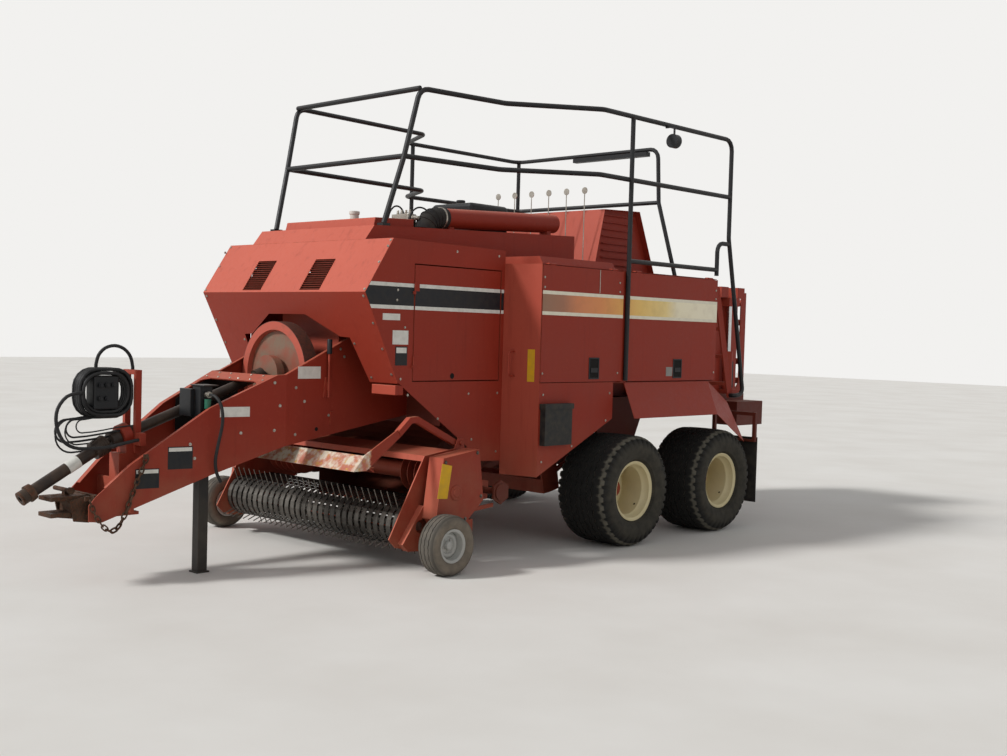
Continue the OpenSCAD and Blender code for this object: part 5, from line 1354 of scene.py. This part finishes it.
jackSet = {
    "x": 0.19, "y": -3.12, "outer": 0.092, "outerWall": 0.006, "inner": 0.072, "innerWall": 0.005,
    "low": 0.655, "top": 1.235, "lid": 0.004, "lidHalf": 0.058, "lidReach": 0.1, "armTo": 0.28,
    "armHalf": 0.03, "armZ": (0.765, 0.895), "plateX": (-0.15, -0.02), "plateY": (-0.078, -0.0455),
    "plateZ": (1.03, 1.21), "legTop": 1.1, "footHalf": 0.048, "footSheet": 0.012,
    "fittingAt": (0.236, -3.12, 1.175),
    "fitting": ((0, 0.02), (0.03, 0.02), (0.031, 0.015), (0.05, 0.015), (0.05, 0.0)),
    "valveAt": (0.258, -3.124, 1.145),
    "valve": ((0, 0.021), (0.06, 0.021), (0.062, 0.013), (0.08, 0.013), (0.08, 0.0)),
}


def squareTube(x, y, size, wall, z0, z1):
    a, b = size / 2, size / 2 - wall
    verts = [at(x + sx * r, y + sy * r, z) for z in (z0, z1) for r in (a, b) for sx,
             sy in ((-1, -1), (1, -1), (1, 1), (-1, 1))]
    faces = []
    for k in range(4):
        n = (k + 1) % 4
        faces += [(k, n, 8 + n, 8 + k), (4 + n, 4 + k, 12 + k, 12 + n), (k, 4 + k, 4 + n, n),
                  (8 + k, 8 + n, 12 + n, 12 + k)]
    return verts, faces


def makeJack(j):
    x, y, top, foot = j["x"], j["y"], j["top"], j["footHalf"]
    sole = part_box("jack_leg")[0].z
    outer = squareTube(x, y, j["outer"], j["outerWall"], j["low"], top - j["lid"])
    lid = boxMesh((x - j["lidHalf"], y - j["lidHalf"], top - j["lid"]),
                  (x + j["lidReach"], y + j["lidHalf"], top + j["lid"]))
    arm = boxMesh((x + j["outer"] / 2 - 0.002, y - j["armHalf"], j["armZ"][0]),
                  (j["armTo"], y + j["armHalf"], j["armZ"][1]))
    (x0, x1), (y0, y1), (z0, z1) = j["plateX"], j["plateY"], j["plateZ"]
    plate = boxMesh((x + x0, y + y0, z0), (x + x1, y + y1, z1))
    newPiece("jack_sleeve", joined([outer, lid, arm, plate]), "black",
             replaces=("jack_tube",), bevel=0.003)
    fitting = turned(j["fitting"], at(*j["fittingAt"]), (1, 0, 0), 24)
    newPiece("jack_fitting", fitting, "zinc", smooth=35)
    newPiece("jack_valve", turned(j["valve"], at(*j["valveAt"]), (0, 0, -1), 24), "green", smooth=35)
    leg = squareTube(x, y, j["inner"], j["innerWall"], sole + j["footSheet"], j["legTop"])
    shoe = boxMesh((x - foot, y - foot, sole), (x + foot, y + foot, sole + j["footSheet"]))
    newPiece("jack_post", joined([leg, shoe]), "black", "jack", replaces=("jack_leg",),
             bevel=0.0025)


makeJack(jackSet)
print("stage 10: drawbar and jack made")

# hose stand: coupler box in the middle of the hank, cables hung below

standSet = {
    "boxLow": (-0.052, -3.815, 1.08), "boxHigh": (0.052, -3.64, 1.292),
    # each cable: across, thickness, how far ahead, how low
    "cables": ((-0.055, 0.012, -4.01, 0.81), (-0.03, 0.01, -3.96, 0.86), (0.0, 0.014, -4.04, 0.88),
               (0.03, 0.012, -3.985, 0.912), (0.052, 0.009, -3.93, 0.94)),
    "couplers": ((-3.775, 1.235), (-3.73, 1.235), (-3.685, 1.235), (-3.775, 1.15), (-3.73, 1.15)),
    "coupler": ((-0.002, 0.015), (0.016, 0.015), (0.018, 0.011), (0.026, 0.011), (0.026, 0.0)),
    "tieY": -3.8, "tieZ": 1.032, "sag": 0.01, "endY": -3.5385, "rise": 0.034,
}


def drooped(x, ahead, low, s):
    # forward from the tie, round in one even bend and back to the hitch plates
    bend = (s["tieZ"] - s["sag"] - low) / 2
    turnY, rows = ahead + bend, []
    for t in (0, 0.25, 0.5, 0.75):
        rows.append((s["tieY"] + (turnY - s["tieY"]) * t, s["tieZ"] - s["sag"] * t * t * (3 - 2 * t)))
    for k in range(13):
        a = math.pi * k / 12
        rows.append((turnY - bend * math.sin(a), low + bend + bend * math.cos(a)))
    for t in (0.2, 0.4, 0.6, 0.8, 1):
        rows.append((turnY + (s["endY"] - turnY) * t, low + s["rise"] * t * t * (3 - 2 * t)))
    return [at(x, y, z) for y, z in rows]


def makeStand(s):
    newPiece("coupler_box", boxMesh(s["boxLow"], s["boxHigh"]), "black", bevel=0.012)
    couplers = [turned(s["coupler"], at(side * s["boxHigh"][0], y, z), (side, 0, 0), 24)
                for y, z in s["couplers"] for _, side in sides]
    newPiece("coupler_caps", joined(couplers), "blackVinyl", smooth=35)
    for k, (x, diameter, ahead, low) in enumerate(s["cables"]):
        layCord(f"stand_cable_{k}", drooped(x, ahead, low, s), diameter, 8, "object")


makeStand(standSet)
print("stage 11: hose stand made")

# grip on the crank of the drawbar's side

gripSet = {
    "place": (0.424, -2.256, 1.452),
    "outline": ((0, 0), (0, 0.015), (0.004, 0.018), (0.097, 0.018), (0.103, 0.014), (0.103, 0)),
}
grip = turned(gripSet["outline"], at(*gripSet["place"]), (0, 0, 1), 24)
newPiece("crank_grip", grip, "blackVinyl", smooth=35)

# body fasteners: recessed latches, screws along the seams, small plates

bodySet = {
    "boxBolts": ((-0.956, 2.045), (-0.953, 1.973), (-0.071, 2.045), (-0.067, 1.975), (0.044, 2.043),
                 (0.048, 1.972), (1.27, 2.045), (1.27, 1.972), (-0.956, 1.345), (-0.071, 1.345),
                 (0.044, 1.345), (1.27, 1.345)),
    "latches": (("front", -0.424, -0.301, 1.3, 1.464), ("rear", 0.67, 0.793, 1.3, 1.457)),
    "noseScrews": ((-2.102, 1.901), (-2.108, 1.833), (-2.2, 2.19), (-1.55, 2.195), (-1.12, 2.19),
                   (-2.06, 1.3), (-2.03, 1.65)),
    "lowerBolts": ((-1.99, 1.19), (-1.4, 1.19), (-1.1, 1.19), (-1.1, 0.76), (-1.36, 0.86), (-1.7, 1.02)),
    "boxLower": ((-0.94, 1.19), (-0.94, 0.7), (-0.6, 0.8), (-0.2, 0.98), (-0.16, 1.19)),
    "doorEdge": 0.02, "boltSize": 0.0065, "frameWidth": 0.01, "frameThick": 0.004, "pocketThick": 0.0012,
    # the pull lies this far in from the frame's ends and this high above its foot
    "pullIn": 0.02, "pullZ": (0.05, 0.085), "pullThick": 0.007,
    "plate": (0.575, 0.663, 1.317, 1.391), "rod": (-0.321, -0.315, 1.955, 2.131), "rodThick": 0.003,
    "knobPlace": (-1.57, 1.318), "knob": ((-0.001, 0.02), (0.0009, 0.02)),
}


def latch(b, side, y0, y1, z0, z1):
    # pocket painted as shade, a frame round it and the pull lying in it
    w, thick = b["frameWidth"], b["frameThick"]
    rims = ((y0, y1, z0, z0 + w), (y0, y1, z1 - w, z1), (y0, y0 + w, z0 + w, z1 - w),
            (y1 - w, y1, z0 + w, z1 - w))
    frame = [sidePlate(side, boxX, *rim, thick) for rim in rims]
    front, rear, (low, high) = y0 + b["pullIn"], y1 - b["pullIn"], (z0 + up for up in b["pullZ"])
    pull = sideBox(((front, low), (rear, low), (rear, high), (front, high)), side * boxX,
                   side * (boxX + b["pullThick"]))
    return frame + [pull], sidePlate(side, boxX, y0 + w, y1 - w, z0 + w, z1 - w, b["pocketThick"])


def makeBody(b):
    size, edge = b["boltSize"], b["doorEdge"]
    for name, side in sides:
        out = (side, 0, 0)
        for row, *span in b["latches"]:
            frame, pocket = latch(b, side, *span)
            body = f"twine_door_{name}_{row}"
            newPiece(f"latch_{name}_{row}", joined(frame), "blackVinyl", body)
            newPiece(f"latch_pocket_{name}_{row}", pocket, "dark", body)
        for row, way in (("front", -1), ("rear", 1)):
            bolts = boltRow(side, boxX, [place for place in b["boxBolts"] if way * place[0] > edge], size)
            newPiece(f"door_bolts_{name}_{row}", joined(bolts), "zinc", f"twine_door_{name}_{row}")
        bolts = boltRow(side, noseX, b["noseScrews"] + b["lowerBolts"], size)
        bolts += boltRow(side, boxX, b["boxLower"], size)
        newPiece(f"body_bolts_{name}", joined(bolts), "zinc")
        newPiece(f"door_plate_{name}", sidePlate(side, boxX, *b["plate"]), "paleGrey",
                 f"twine_door_{name}_rear")
        knob = turned(b["knob"], at(side * noseX, *b["knobPlace"]), out, 24)
        newPiece(f"nose_latch_{name}", knob, "dark", f"nose_door_{name}")
        rod = sidePlate(side, boxX, *b["rod"], b["rodThick"])
        newPiece(f"latch_rod_{name}", rod, "zinc", f"twine_door_{name}_front")


makeBody(bodySet)

# pickup: bearing covers and bolts on the drive boxes

pickupSet = {
    "boxBolts": ((-1.86, 0.745), (-1.555, 0.795), (-1.51, 0.49), (-1.66, 0.345), (-1.93, 0.21)),
    "boltSize": 0.01, "bearing": (-1.755, 0.53),
    "cover": ((-0.001, 0.052), (0.006, 0.052), (0.009, 0.046), (0.009, 0.03), (0.014, 0.026), (0.014, 0.0)),
    "studs": 4, "studTurn": 0.6, "studCircle": 0.04, "studOut": 0.006, "studSize": 0.006,
}


def makePickup(p):
    y, z = p["bearing"]
    for name, side in sides:
        out = (side, 0, 0)
        bolts = boltRow(side, pickupX, p["boxBolts"], p["boltSize"])
        newPiece(f"pickup_bolts_{name}", joined(bolts), "steel", "pickup")
        cover = [turned(p["cover"], at(side * pickupX, y, z), out, 32)]
        for a in roundTurn(p["studs"], p["studTurn"]):
            place = at(side * (pickupX + p["studOut"]), y + p["studCircle"] * math.cos(a),
                       z + p["studCircle"] * math.sin(a))
            cover.append(hexBolt(place, out, p["studSize"]))
        newPiece(f"bearing_cover_{name}", joined(cover), "red", "pickup", smooth=35)


makePickup(pickupSet)

# tractor shaft: white band and ribbed cone of its guard, collar and rusty mouth of its yoke

shaftSet = {
    "tip": (-4.255, 0.55), "joint": (-3.69, 0.87), "bandFrom": 0.225, "bandTo": 0.31, "radius": 0.0385,
    "film": 0.001, "ribs": 6, "ribFrom": 0.018, "ribPitch": 0.015, "ribRadius": 0.0585, "taper": 0.0005,
    "rib": ((0, -0.002), (0.002, 0.004), (0.007, 0.004), (0.009, -0.002)),
    # measured from the tip
    "collar": ((-0.09, 0.0445), (-0.09, 0.052), (-0.06, 0.055), (-0.052, 0.055), (-0.05, 0.0445)),
    "mouth": ((-0.012, 0.028), (-0.012, 0.0455), (0.0005, 0.0455), (0.001, 0.028)),
}


def makeShaft(s):
    tip, joint = at(0, *s["tip"]), at(0, *s["joint"])
    along = tip - joint
    low, high = s["radius"] - s["film"], s["radius"] + s["film"]
    band = [(s["bandFrom"], low), (s["bandFrom"], high), (s["bandTo"], high), (s["bandTo"], low)]
    newPiece("shaft_band", ringTurned(band, joint, along, 40), "white", "pto_line")
    ribs = []
    for k in range(s["ribs"]):
        start, radius = s["ribFrom"] + s["ribPitch"] * k, s["ribRadius"] - s["taper"] * k
        ribs.append(ringTurned([(start + reach, radius + out) for reach, out in s["rib"]], joint, along, 40))
    newPiece("shaft_ribs", joined(ribs), "shaftGuard", "pto_line")
    yoke = [ringTurned([(along.length + reach, radius) for reach, radius in s[part]], joint, along, 40)
            for part in ("collar", "mouth")]
    newPiece("yoke_collar", joined(yoke), "rusty", "pto_line", smooth=35)


makeShaft(shaftSet)
print("stage 12: fasteners, pickup and shaft details made")
